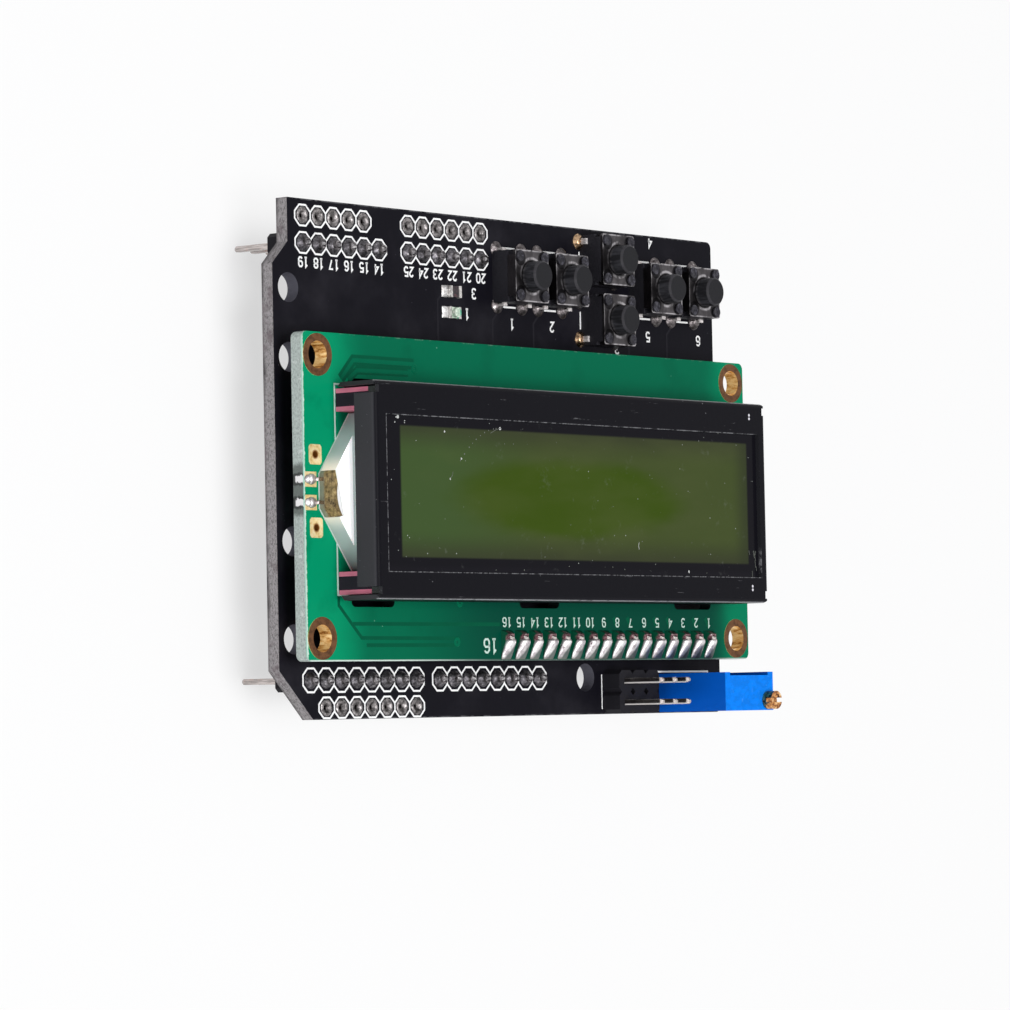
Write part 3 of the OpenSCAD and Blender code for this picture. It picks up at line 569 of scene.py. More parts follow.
def green_board_finish(tones):
    """Lacquer that is paler towards the board's ends, with a pale rim that is partly chipped lacquer and
    partly a painted edge highlight, and a speckled cut edge.
    """
    f = Finish("green_mask", specular=0.03)
    x, y, z = f.xyz
    a, b = ends("display_board")
    cloud = f.noise(6, 4, 0.55)
    pale_ends = f.step(x + cloud * 3, 30.5, 37.0).most(f.step(x - cloud * 3, -33.0, -38.5) * 0.75)
    tone = f.blend(pale_ends, tones.green_mask[:], tones.green_copper[:])
    tone = f.blend(f.step(cloud, 0.52, 0.7) * 0.25, tone, shade(tones.green_mask, 0.6))
    tone = f.blend(f.specks(2.3, (0.055, 0.02), 8) * 0.7, tone, (0.25, 0.6, 0.45))
    chip = f.noise(1.0, 4, 0.7)
    far_side = f.step(y, b.y - 1.0, b.y - 0.5)
    # Pale rim: chipped lacquer and a painted edge highlight.
    worn = (far_side * f.step(chip, 0.2, 0.34)).most(f.step(chip, 0.5, 0.7) * 0.12)
    worn = long_rim(f, "display_board", 0.13) * worn
    worn = worn.most(f.step(x + f.noise(0.7, 3, 0.7) * 0.5, b.x + 0.02, b.x + 0.16) * 0.9)
    tone = f.blend(worn, tone, (0.66, 0.78, 0.72))
    dim = f.step(y, b.y - 12.0, b.y - 7.0) * f.step(x, 27.0, 6.0) * (1 - pale_ends)
    tone = f.blend(dim * 0.9, tone, (0.0002, 0.052, 0.033))
    # The cut edge, with a darker patch and two smears of solder beside the lamp's leads
    fibre = f.noise(0.32, 4, 0.75, (1.0, 1.0, 1.6))
    cut = f.blend(f.step(fibre, 0.4, 0.66), tones.display_edge[:], shade(tones.display_edge, 0.6))
    cut = f.blend(f.step(f.noise(0.9, 3), 0.6, 0.72) * 0.5, cut, (0.75, 0.78, 0.76))
    away = abs(y - middle("lamp_leads").y)
    lead = abs(away - HALF_PITCH)
    nose_end = f.step(x, 0, 1)
    patch = f.step(away + f.noise(1.2, 3, 0.6) * 1.6, 4.1, 3.2)
    wet = f.step(lead + (f.noise(0.5, 3, 0.7) - 0.5) * 0.9, 0.42, 0.3)
    ring = f.step(lead + (f.noise(0.4, 3, 0.7) - 0.5) * 0.8, 0.8, 0.55)
    cut = f.blend(patch * nose_end * 0.85, cut, (0.10, 0.115, 0.105))
    cut = f.blend(ring * nose_end * 0.75, cut, (0.03, 0.03, 0.03))
    cut = f.blend(wet * nose_end * f.step(z, 12.9, 13.1), cut, (0.82, 0.80, 0.80))
    # Painted highlight along the top of the cut edge, where it meets the lacquer.
    cut = f.blend(f.step(z, b.z - 0.2, b.z - 0.06), cut, (0.34, 0.62, 0.5))
    # Painted shade: the walls of slots and holes inside the board are nearly black.
    slots = f.step(abs(x), b.x - 0.5, b.x - 1.0)
    slots = slots * f.step(abs(y - (a.y + b.y) / 2), (b.y - a.y) / 2 - 0.5, (b.y - a.y) / 2 - 1.0)
    cut = f.blend(slots, cut, (0.004, 0.009, 0.008))
    grain = f.noise(0.6, 2) * f.level + fibre * (1 - f.level) * 5
    return f.close(f.blend(f.level, cut, tone), (f.level, 0.8, f.blend(cloud, 0.26, 0.4)), (grain, 0.01))


def lacquer_finish(name, tone):
    """Lacquer over a trace or over the bare gap beside it."""
    f = Finish(name, roughness=0.34, specular=0.03)
    tone = f.blend(f.noise(2.0), shade(tone, 0.88), shade(tone, 1.12))
    return f.close(tone, relief=(f.noise(0.5, 2), 0.01))


def print_finish(tones, name="white_print", tint=(1.0, 1.0, 1.0)):
    """Slightly worn ink."""
    f = Finish(name, roughness=0.6, specular=0.15)
    ink = tuple(a * b for a, b in zip(tones.print_white, tint))
    worn = f.step(f.noise(0.35, 3, 0.7), 0.22, 0.42)
    return f.close(f.blend(worn, shade(ink, 0.62), ink), relief=(f.noise(0.25), 0.01))


def solder_finish(tones, name="solder", bright=1.0, rough=0.34):
    """Solder with dull stains of flux."""
    f = Finish(name, metallic=1.0)
    flow = f.noise(0.9, 3, 0.6)
    flux = f.step(f.noise(0.5, 4, 0.7), 0.42, 0.62)
    tone = f.blend(flux, shade(tones.tin, bright), shade(tones.tin, 0.38 * bright))
    tone = f.blend(f.step(flow, 0.55, 0.75), tone, shade((0.55, 0.50, 0.47), bright))
    return f.close(tone, (flux, rough - 0.12, rough + 0.16), (flow + f.noise(0.35, 2) * 0.5, 0.07))


def beside_pins(f):
    """Distances from the nearest display pin along the row and across it."""
    first, row = row_places("display_pins", DISPLAY_PINS)[0]
    x, y, _ = f.xyz
    return f.wrap(x - first), y - row


def slope_finish():
    """Fresh solder: bright with broad clouds of rose and grey, with painted shade on one side of each fillet
    and in the hollows at its foot.
    """
    f = Finish("bright_solder", metallic=1.0)
    face = high("display_board").z
    cloud = f.noise(1.0, 4, 0.65)
    tone = f.tones(cloud, (0.3, (0.26, 0.24, 0.25)), (0.44, (0.50, 0.46, 0.48)), (0.56, (0.74, 0.72, 0.72)),
                   (0.7, (0.92, 0.92, 0.92)))
    along, across = beside_pins(f)
    # Painted shade on the lower side of each fillet.
    shaded_slant = across * 0.62 - along + f.noise(1.3, 2) * 0.5
    tone = f.blend(f.step(shaded_slant, 0.9, 1.35) * 0.9, tone, (0.10, 0.13, 0.12))
    # Painted shade in the hollow where the fillet meets the board.
    tone = f.blend(f.step(f.xyz[2], face + 0.28, face + 0.05) * 0.75, tone, (0.16, 0.16, 0.14))
    pit = f.specks(0.9, (0.16, 0.08), 2.2, (0.52, 0.62))
    return f.close(f.blend(pit * 0.8, tone, (0.14, 0.1, 0.1)), (cloud, 0.5, 0.34), (cloud - pit, 0.05))


def heads_finish(tones):
    """The heads of the display's pins: dark solder in the middle, lacquer round it."""
    f = Finish("head_solder", specular=0.05)
    along, across = beside_pins(f)
    far = f.size(f.add("CombineXYZ", None, {0: along, 1: across * 0.8}))
    head = f.step(far + f.noise(0.6) * 0.25, 0.86, 0.72)
    stain = f.noise(0.45, 4, 0.7)
    tone = f.tones(stain, (0.38, (0.03, 0.018, 0.022)), (0.5, (0.16, 0.075, 0.085)),
                   (0.62, (0.34, 0.22, 0.23)), (0.74, (0.85, 0.8, 0.8)))
    tone = f.blend(head, shade(tones.green_mask, 0.42), tone)
    return f.close(tone, (stain, 0.5, 0.3), (stain * head, 0.05), metallic=head * 0.8)


def metal_finish(name, tone, rough=0.3, dark=0.6, size=0.8):
    """Bare metal with dark stains."""
    f = Finish(name, metallic=1.0)
    stain = f.noise(size, 4, 0.65)
    tone = f.blend(f.step(stain, 0.4, 0.7), tone, shade(tone, dark))
    return f.close(tone, (stain, rough - 0.1, rough + 0.15), (f.noise(0.2, 2, by=(1.0, 1.0, 0.25)), 0.008))


def plated_ring_finish(tones):
    """Dull copper on the flat ring, bright gold inside the barrel with a painted glow (emission) on its wall.
    """
    f = Finish("plated_ring", emission_strength=1.0)
    flat = f.blend(f.step(f.noise(0.9, 4, 0.7), 0.4, 0.68), tones.copper[:], shade(tones.copper, 0.45))
    grain = f.noise(0.6, 4, 0.7, (1.0, 1.0, 0.3))
    wall = f.tones(grain, (0.36, (0.30, 0.10, 0.02)), (0.46, (0.90, 0.50, 0.15)), (0.58, (1.0, 0.80, 0.44)))
    # Painted glow: the barrel's wall emits light.
    glow = f.blend(f.step(grain, 0.4, 0.6), (0.03, 0.012, 0.002), (0.20, 0.12, 0.035))
    return f.close(f.blend(f.level, wall, flat), (f.level, 0.25, 0.5), (f.noise(0.4), 0.02),
                   emission_color=f.blend(f.level, glow, BLACK), metallic=f.blend(f.level, 0.45, 0.8))


def gold_finish(tones, holes):
    """Bright gold plate, browner round the mouths of its barrels."""
    f = Finish("gold_pad", metallic=0.35, specular=0.3)
    stain = f.noise(0.6, 4, 0.7)
    tone = f.tones(stain, (0.3, (0.66, 0.42, 0.16)), (0.45, tones.gold[:]), (0.62, (0.96, 0.80, 0.50)))
    mouth = spots(f, holes, 0.62, 0.36).least(1.0)
    return f.close(f.blend(mouth, tone, (0.30, 0.11, 0.02)), (stain, 0.4, 0.24), (stain, 0.02))


def pad_finish(name, tone):
    """Old solder over a pad, dull and mottled with pale specks that are partly painted glints, and with
    painted shade as a dark mouth in the open barrels.
    """
    f = Finish(name, metallic=0.9)
    stain = f.noise(0.5, 5, 0.72)
    tone = f.tones(stain, (0.36, shade(tone, 0.2)), (0.5, tone), (0.62, shade(tone, 2.2)),
                   (0.74, (0.80, 0.77, 0.74)))
    # Painted shade: nearly black inside the barrels.
    mouth = f.step(f.xyz[2], 9.92, 9.72)
    return f.close(f.blend(mouth, tone, (0.012, 0.01, 0.011)), (stain, 0.5, 0.28), (stain, 0.06))


def moulding_finish(name, tone, rough=0.5, specular=0.15, size=0.25, depth=0.01):
    """Moulded plastic or rubber with a fine grain and a little dust."""
    f = Finish(name, specular=specular)
    grain = f.noise(size, 3, 0.6)
    dust = f.step(f.noise(size * 6, 4, 0.7), 0.58, 0.75)
    tone = f.blend(dust * 0.5, tone, tuple(c * 1.2 + 0.01 for c in tone))
    return f.close(tone, (grain, rough - 0.08, rough + 0.1), (grain, depth))


def bezel_finish(tones):
    """Painted steel with pale edges that are partly worn paint and partly painted highlight, painted
    reflection on its upright end walls, two pairs of bright dimples and fine scratches.
    """
    f = Finish("bezel_paint", specular=0.04)
    x, y, z = f.xyz
    (a, b), (c, d) = ends("bezel"), ends("front_polariser")
    rub = f.noise(0.8, 4, 0.75)
    top = f.step(z, b.z - 0.42, b.z - 0.3)
    # Pale lines along the long top edges and round the window: worn paint and a painted edge highlight.
    sides = long_rim(f, "bezel", 0.11) * f.step(z, b.z - 0.75, b.z - 0.5) * f.step(rub, 0.25, 0.5)
    out_x = abs(x - (c.x + d.x) / 2) - ((d.x - c.x) / 2 - 0.3)
    away = out_x.most(abs(y - (c.y + d.y) / 2) - ((d.y - c.y) / 2 - 0.6))
    lip = f.step(away, 0.13, 0.05) * f.step(rub, 0.4, 0.6)
    lip = lip * f.step(x, a.x + 1.6, a.x + 3.0).most(f.step(y, d.y - 4.5, d.y - 3.0))
    scratch = f.step(f.noise(0.6, 5, 0.7, (0.15, 1.6, 1.0)), 0.66, 0.72) * 0.3
    dust = f.specks(1.5, (0.07, 0.03), 5, (0.5, 0.62)) * 0.8
    wear = (sides * 0.9).most(lip * top * 0.55).most(scratch).most(dust)
    # Painted reflection: the upright end walls are lighter than the top.
    upright = f.step(f.up, 0.75, 0.35)
    tone = f.blend(upright * f.step(x, b.x - 1.2, b.x - 0.6), tones.bezel[:], (0.042, 0.042, 0.047))
    tone = f.blend(upright * f.step(x, c.x + 1.0, c.x + 0.2), tone, (0.022, 0.022, 0.026))
    dimples = [(a.x + 3.25, q + 0.42 * j) for q in (a.y + 1.45, b.y - 1.96) for j in (0, 1)]
    dots = spots(f, dimples, 0.22, 0.12) * top
    tone = f.blend(dots, f.blend(wear, tone, (0.34, 0.34, 0.36)), (0.80, 0.78, 0.84))
    return f.close(tone, (f.noise(2.5, 4), 0.28, 0.46), (f.noise(0.7) * 0.12 - dots, 0.1))


def window_finish(tones, sizes):
    """The polariser: a grey-green viewing area in a dark border, with haze, dust and scratches."""
    f = Finish("window", specular=0.035)
    x, y, _ = f.xyz
    half_l, half_w = sizes.view_l / 2, sizes.view_w / 2
    cx, cy = sizes.view_shift_x, middle("light_guide").y + sizes.view_shift_y
    out_y = abs(y - cy)
    view = f.step(abs(x - cx), half_l + 0.2, half_l - 0.2) * f.step(out_y, half_w + 0.15, half_w - 0.15)
    haze = f.noise(6, 3, by=(0.3, 1.0, 1.0))
    oval = f.size((f.place - (cx + 1.5, cy + 0.3, 0.0)) * (0.044, 0.2, 0.0))
    core = f.step(oval + (haze - 0.5) * 0.5, 1.05, 0.72)
    tone = f.blend(f.step(x, 2, 26), (0.050, 0.070, 0.019), (0.046, 0.082, 0.024))
    tone = f.blend(core, tone, tones.green_view[:])
    tone = f.blend(f.step(out_y, half_w * 0.55, half_w * 1.05) * 0.85, tone, (0.034, 0.038, 0.020))
    tone = f.blend(f.step(haze, 0.45, 0.75) * 0.25, tone, (0.085, 0.105, 0.035))
    tone = f.blend(f.step(x, cx - half_l + 3.4, cx - half_l) * 0.7, tone, (0.026, 0.032, 0.016))
    dust = f.specks(1.15, (0.075, 0.035), 3.5, (0.5, 0.62))
    hair = f.step(f.noise(1.1, 6, 0.72, (0.5, 2.2, 1.0)), 0.69, 0.73)
    smear = f.step(f.noise(2.4, 5, 0.75), 0.6, 0.8) * 0.12
    rim = f.step(out_y, half_w + 0.6, half_w + 2.2)
    border = f.blend(rim * 0.6, tones.border[:], shade(tones.border, 2.3))
    tone = f.blend(dust.most(hair * 0.4).most(smear), f.blend(view, border, tone), (0.42, 0.45, 0.42))
    return f.close(tone, (f.noise(6, 4, 0.6), 0.08, 0.24), (hair * -1.0 + dust, 0.015))


def guide_finish(tones):
    """Milky acrylic with a white top and a painted glow (emission) on the top and the nose. The nose is warm
    with painted light beside the lamp, and has painted shade towards the bezel.
    """
    f = Finish("light_guide", subsurface_weight=0.2, subsurface_scale=0.001, specular=0.3,
               emission_strength=1.0)
    x, y, _ = f.xyz
    lamp = middle("backlight_lamp")
    far = f.far(lamp.x, lamp.y)
    wall = high("bezel").x
    side = f.blend(f.noise(1.6), tones.guide_side[:], shade(tones.guide_side, 0.85))
    # Painted light from the unlit lamp: cream beside it.
    side = f.blend(f.step(far, 5.4, 2.6), side, (0.90, 0.80, 0.66))
    nose = f.step(x, wall - 9, wall - 7)
    shadow = f.step(x, wall - 0.6, wall - 3.4) * f.step(y, lamp.y - 1.0, lamp.y + 1.0).most(0.45) * nose
    # Painted shade towards the bezel's end wall.
    wall_shade = f.step(x, wall + 3.4, wall - 0.2)
    side = f.blend(shadow, f.blend(wall_shade, side, shade(tones.guide_side, 0.55)), shade(tones.guide_side, 0.22))
    # Painted glow: the guide emits light, warmest beside the lamp.
    glow = f.blend(wall_shade, (0.29, 0.335, 0.325), (0.07, 0.085, 0.09))
    glow = f.blend(f.step(far, 4.8, 3.2) * (1 - wall_shade), glow, (0.44, 0.37, 0.29))
    glow = f.blend(nose, (0.05, 0.055, 0.05), f.blend(shadow, glow, BLACK))
    # Painted glow on the top, stronger beside the end wall.
    top = f.blend(f.step(x, wall + 1.6, wall), (0.12, 0.12, 0.12), (0.55, 0.55, 0.56))
    return f.close(f.blend(f.level, side, tones.guide[:]), (f.level, 0.2, 0.42), (f.noise(0.8), 0.02),
                   emission_color=f.blend(f.level, glow, top))


def lamp_finish(tones):
    """The lamp's moulded body: streaked tan resin with dark flecks and a pale rim."""
    f = Finish("lamp_body", specular=0.25)
    x, y, z = f.xyz
    a, b = ends("backlight_lamp")
    grain = f.noise(0.55, 4, 0.7, (1.0, 1.0, 1.4))
    tone = f.tones(grain, (0.32, (0.05, 0.03, 0.015)), (0.44, shade(tones.lamp, 0.6)), (0.56, tones.lamp[:]),
                   (0.72, (0.56, 0.43, 0.20)))
    foot = f.step(z + f.noise(0.5, 2) * 0.4, a.z + 1.0, a.z + 0.6) * (1 - f.level)
    tone = f.blend(foot * 0.85, tone, (0.25, 0.28, 0.23))
    away = (y - (a.y + b.y) / 2) / ((b.y - a.y) / 2)
    bow = x - a.x + away * away * 0.9 - 0.9
    tone = f.blend(f.step(bow, 0.3, 0.18) * 0.5, tone, (0.14, 0.10, 0.04))
    tone = f.blend(f.step(bow, 0.12, 0.0) * f.level, tone, (0.86, 0.865, 0.87))
    return f.close(tone, (grain, 0.25, 0.5), (grain, 0.05))


def key_middles():
    """Middles of the plungers, and places of the rivets round them."""
    centres = [middle(key + "_plunger").xy for key in KEYS]
    return centres, [(c.x + sx * RIVET, c.y + sy * RIVET)
                     for c in centres for sx in (-1, 1) for sy in (-1, 1)]


def cover_finish(tones):
    """Pressed steel with painted highlights on its edges and round the plungers, painted shade on its upright
    sides, dark rims round the rivets and a dark gap round the plungers.
    """
    f = Finish("key_cover", metallic=1.0)
    x, y, _ = f.xyz
    centres, rivets = key_middles()
    gap = spots(f, centres, 2.0, 1.82)
    ring = spots(f, centres, 2.3, 2.1) - gap
    dark = spots(f, rivets, 0.98, 0.84)
    cloud = f.noise(1.7, 4, 0.65, (1.0, 0.6, 1.0))
    tone = f.tones(cloud, (0.28, shade(tones.steel, 0.5)), (0.5, tones.steel[:]),
                   (0.72, shade(tones.steel, 1.9)))
    edge = 0.0
    for c in centres:
        away = abs(x - c.x).most(abs(y - c.y))
        edge = f.step(away, 2.8, 2.9) * f.step(away, 3.3, 3.2) + edge
    # Painted highlights on the cover's edges and round the plunger holes.
    bright = (edge * f.step(cloud, 0.38, 0.6)).most(ring * f.step(cloud, 0.4, 0.6))
    tone = f.blend(bright.least(1.0) * 0.8, tone, (0.5, 0.48, 0.5))
    tone = f.blend((gap + dark).least(1.0) * 0.9, tone, (0.015, 0.014, 0.016))
    # Painted shade: the upright sides are darker than the top.
    tone = f.blend(f.step(f.up, 0.75, 0.4), tone, (0.05, 0.045, 0.05))
    return f.close(tone, (cloud, 0.25, 0.5), (f.noise(0.25, 3, 0.6, (0.25, 1.0, 1.0)) + cloud * 3, 0.008))


def base_finish(tones):
    """The black housing of the push buttons, with the rounded heads of its four posts."""
    f = Finish("key_base", specular=0.1)
    top = high("reset_base").z
    head = f.step(f.xyz[2], top - 0.4, top - 0.2)
    dent = spots(f, key_middles()[1], 0.6, 0.1) * head
    mottle = f.noise(0.4, 4, 0.7)
    tone = f.blend(f.step(mottle, 0.45, 0.7) * head, shade(tones.moulding, 0.9), shade(tones.moulding, 3.6))
    return f.close(tone, (mottle, 0.25, 0.55), (mottle * 0.4 - dent, 0.14))


def plunger_finish(tones):
    """Black plastic with a painted highlight on the bevel and a painted light ring round the foot, streaked
    down its side.
    """
    f = Finish("plunger", specular=0.07)
    z, top, foot = f.xyz[2], high("reset_plunger").z, high("reset_cover").z
    face = f.step(f.up, 0.85, 0.97)
    streak = f.noise(0.5, 3, 0.65, (1.0, 1.0, 0.15))
    grain = f.noise(0.22)
    side = f.blend(f.step(streak, 0.4, 0.66), shade(tones.plunger, 0.6), shade(tones.plunger, 1.9))
    # Painted highlight: a light ring round the plunger's foot.
    ring = f.step(z, foot + 0.32, foot + 0.12) * f.step(streak, 0.35, 0.6)
    side = f.blend(ring * 0.7, side, (0.10, 0.095, 0.10))
    tone = f.blend(face, side, shade(tones.plunger, 0.6))
    # Painted highlight on the bevel round the top.
    tone = f.blend(f.step(z, top - 0.3, top - 0.22) * (1 - face) * 0.7, tone, (0.045, 0.043, 0.048))
    tone = f.blend(f.step(f.noise(0.7, 4, 0.7), 0.62, 0.78) * 0.25, tone, (0.05, 0.05, 0.055))
    return f.close(tone, (grain, 0.36, 0.56), (grain, 0.012))


def pin_finish(tones, name="pin_metal", metallic=1.0, dull_from=None, row=None, tone=None):
    """Drawn and tinned wire. Above dull_from it is coated with grey solder; row is the middle of a row whose
    pins get a painted highlight on their edges and painted shade below their tips."""
    f = Finish(name, metallic=metallic)
    _, y, z = f.xyz
    drawn = f.noise(0.12, 3, 0.6, (1.0, 1.0, 0.06))
    stain = f.noise(0.9, 3, 0.6)
    tone = tone or tones.pin[:]
    tone = f.blend(f.step(drawn, 0.4, 0.62), shade(tone, 0.55), tone)
    tone = f.blend(f.step(stain, 0.55, 0.75) * 0.5, tone, (0.62, 0.42, 0.36))
    if dull_from is not None:
        coat = f.tones(f.noise(0.4, 4, 0.7), (0.36, (0.06, 0.055, 0.06)), (0.54, (0.26, 0.25, 0.26)),
                       (0.7, (0.75, 0.73, 0.73)))
        tone = f.blend(f.step(z, dull_from, dull_from + 0.15), tone, coat)
    if row is not None:
        u, tip = f.wrap(y - row), high("aux_pins").z
        # Painted highlight on the pins' edges.
        edge = f.step(u, 0.12, 0.2).most(f.step(u, -0.2, -0.27) * f.step(drawn, 0.4, 0.5) * 0.2)
        edge = edge * f.step(f.up, 0.5, 0.2)
        # Painted shade: the pins are darker below their tips.
        tone = f.blend(f.step(z, tip - 0.2, tip - 0.45), tone, shade(tones.pin, 0.3))
        tone = f.blend(edge, tone, (0.80, 0.76, 0.74))
        f.set(metallic=1.0 - edge * 0.85)
    return f.close(tone, (stain, 0.14, 0.34), (drawn, 0.006))


def brass_finish(tones):
    """Stained brass with bright patches."""
    f = Finish("screw_brass", metallic=1.0)
    stain = f.noise(0.55, 4, 0.7)
    tone = f.tones(stain, (0.4, (0.05, 0.02, 0.012)), (0.49, tones.brass[:]), (0.57, (0.74, 0.36, 0.12)),
                   (0.66, (1.0, 0.82, 0.5)))
    return f.close(tone, (stain, 0.4, 0.18), (stain, 0.04))


def housing_finish(tones):
    """Blue moulded resin with flow marks and small bright sinks, and painted shade on its upright sides."""
    f = Finish("trimmer_housing", specular=0.06)
    flow = f.noise(1.1, 4, 0.65, (1.0, 1.4, 1.0))
    mark = f.step(f.noise(0.8, 4, 0.7, (1.6, 0.8, 1.0)), 0.6, 0.72)
    tone = f.blend(f.step(flow, 0.35, 0.65), shade(tones.housing, 0.8), tones.housing[:])
    tone = f.blend(mark * 0.35 * f.up, tone, (0.10, 0.42, 0.95))
    # Painted shade: the upright sides are a darker blue than the top.
    tone = f.blend(f.step(f.up, 0.7, 0.3), tone, (0.001, 0.098, 0.53))
    return f.close(tone, (flow, 0.3, 0.5), (flow + mark * 0.6, 0.04))


def glass_finish():
    """Dark glass: only its cut edges show."""
    f = Finish("display_glass", roughness=0.12, transmission_weight=0.3, specular=0.1, ior=1.5)
    tone = f.blend(f.noise(3, 2), (0.020, 0.030, 0.028), (0.035, 0.05, 0.045))
    return f.close(tone, relief=(f.noise(1.5), 0.003))


def small_part_finish(node):
    """A chip part's mottled body between tinned ends."""
    f = Finish(node, specular=0.3)
    x = f.xyz[0]
    a, b = ends(node)
    mottle = f.noise(0.35, 4, 0.7)
    end = f.step(abs(x - (a.x + b.x) / 2), 0.5, 0.62)
    if node == "power_lamp":
        body = f.tones(mottle, (0.35, (0.30, 0.42, 0.34)), (0.55, (0.62, 0.74, 0.60)),
                       (0.7, (0.88, 0.92, 0.84)))
        body = f.blend(f.step(x, a.x + 0.8, a.x + 0.5), body, (0.04, 0.42, 0.24))
    else:
        # The reddish flecks in the dark body are partly painted glint.
        body = f.tones(mottle, (0.35, (0.012, 0.01, 0.012)), (0.55, (0.04, 0.03, 0.035)),
                       (0.72, (0.13, 0.05, 0.055)))
    tone = f.blend(end, body, f.tones(mottle, (0.35, (0.30, 0.28, 0.27)), (0.6, (0.80, 0.78, 0.76))))
    return f.close(tone, (mottle, 0.25, 0.5), (mottle, 0.03), metallic=end * 0.8)


# ---------------------------------------------------------------- operators


class BuildStep(bpy.types.Operator):
    """What all steps share"""

    bl_options = {"REGISTER", "UNDO"}

    @property
    def board_tones(self):
        return bpy.context.scene.board_colours

    @property
    def part_tones(self):
        return bpy.context.scene.part_colours

    @property
    def sizes(self):
        return in_mm(bpy.context.scene.fine_sizes)


class KEYPAD_OT_boards(BuildStep):
    """Finish both boards and the plated rings"""

    bl_idname = "keypad.boards"
    bl_label = "Boards"

    def execute(self, context):
        tones = self.board_tones
        dress(black_board_finish(tones), "carrier_board")
        dress(green_board_finish(tones), "display_board")
        dress(plated_ring_finish(tones), "plated_rings")
        return {"FINISHED"}


class KEYPAD_OT_print(BuildStep):
    """Print the octagons, lines and plain digits on both boards"""

    bl_idname = "keypad.print"
    bl_label = "Print"

    def execute(self, context):
        s, tones = self.sizes, self.board_tones
        base, edge = high("carrier_board").z, high("carrier_board").y
        top = base + s.print_t
        width = s.print_w
        rows = {name: row_places(name + "_pins", count) for name, count in ROWS.items()}

        def line(mesh, *points, w=width):
            ribbon(mesh, points, w, base, top)

        def word(mesh, text, x, y, height=s.digit_h):
            digits(mesh, text, x, y, height, s.digit_w, base, top)

        def rings(mesh):
            places = [place for row in rows.values() for place in row] + spare_places(s.spare_gap)
            for i, (x, y) in enumerate(places):
                half = min((s.octagon_tall if y > 0 else s.octagon_h) / 2, edge - abs(y) - width / 2 - 0.06)
                corners = octagon(x, y, s.octagon_w, half * 2, s.octagon_cut)
                ribbon(mesh, corners, width, base, top + (i % 2) * 0.004, True)
            for name, last in (("analogue", 19), ("power", 25)):
                for i, (x, y) in enumerate(rows[name]):
                    word(mesh, str(last - i), x, y + 2.15, s.digit_h * 0.92)

        def key_marks(mesh):
            aside = {"up": (-3.75, 3.04), "down": (-10.6, -3.0), "right": (-0.3, 5.25), "left": (-0.6, 5.5),
                     "select": (-3.1, 5.5)}
            for number, key in enumerate(KEYS, 1):
                centre = middle(key + "_base")
                x, y = aside.get(key, (-0.4, 5.3))
                word(mesh, str(number), centre.x + x, centre.y + y)
                xs, ys = (sorted(set(places)) for places in zip(*key_legs(key)))
                if key in TURNED_KEYS:
                    for x in (xs[1] - 0.1, xs[0] + 0.1):
                        line(mesh, (x, ys[0] + 1.2), (x, ys[1] - 1.2))
                else:
                    for y in (ys[0] - 0.25, ys[1] + 0.12):
                        line(mesh, (xs[0] + 1.15, y), (xs[1] - 1.1, y))
            for key in TURNED_KEYS:
                x, y = outer_leg(key)
                plate(mesh, rectangle(x - 1.6, y + (0.15 if key == "down" else -0.2), 0.63, 0.73), base, top)

        def part_marks(mesh):
            for text, node, away in (("3", "chip_resistor", 3.8), ("1", "power_lamp", 2.5)):
                place = middle(node)
                word(mesh, text, place.x - away, place.y)
            a, b = ends("aux_strip")
            x, y = b.x + 0.35, edge - 0.3
            line(mesh, (x - 0.15, a.y + 0.45), (x - 0.15, edge - 0.6), w=width * 0.65)
            for reach, long in ((2.2, 1.9), (3.85, 1.3), (5.4, 1.35)):
                line(mesh, (x - reach - long, y), (x - reach, y))
            plate(mesh, rectangle(x - 5.1, y, 0.22, 0.22), base, top)
            a, b = ends("trimmer_housing")
            x, y = b.x + 0.35, a.y - 0.25
            line(mesh, (a.x - 0.2, y + 0.3), (a.x - 0.2, y), (x, y), (x, y + 0.3))
            line(mesh, (x - 0.05, edge - 0.75), (x - 0.05, edge - 0.25))

        def carrier(mesh):
            rings(mesh)
            key_marks(mesh)
            part_marks(mesh)

        def display(mesh):
            face = high("display_board").z
            level = face, face + s.print_t
            a, b = ends("bezel")
            x, y, end = b.x - 0.8, a.y + 0.12, b.y - 0.65
            ribbon(mesh, [(x - 1.84, y), (x, y), (x, end), (x - 1.84, end)], width, *level)
            pins = row_places("display_pins", DISPLAY_PINS)
            ends_of_row = ((str(DISPLAY_PINS), pins[0], 2.85, 0.85), ("1", pins[-1], -3.7, 0.3))
            for text, (x, y), dx, dy in ends_of_row:
                digits(mesh, text, x + dx, y + dy, 1.5, 0.24, *level)
            for i, (x, y) in enumerate(pins):
                digits(mesh, str(DISPLAY_PINS - i), x - 0.15, y - 1.85, 0.98, 0.165, *level)

        piece("carrier_print", print_finish(tones), carrier)
        piece("display_print", print_finish(tones, "mint_print", (0.62, 0.80, 0.72)), display)
        return {"FINISHED"}


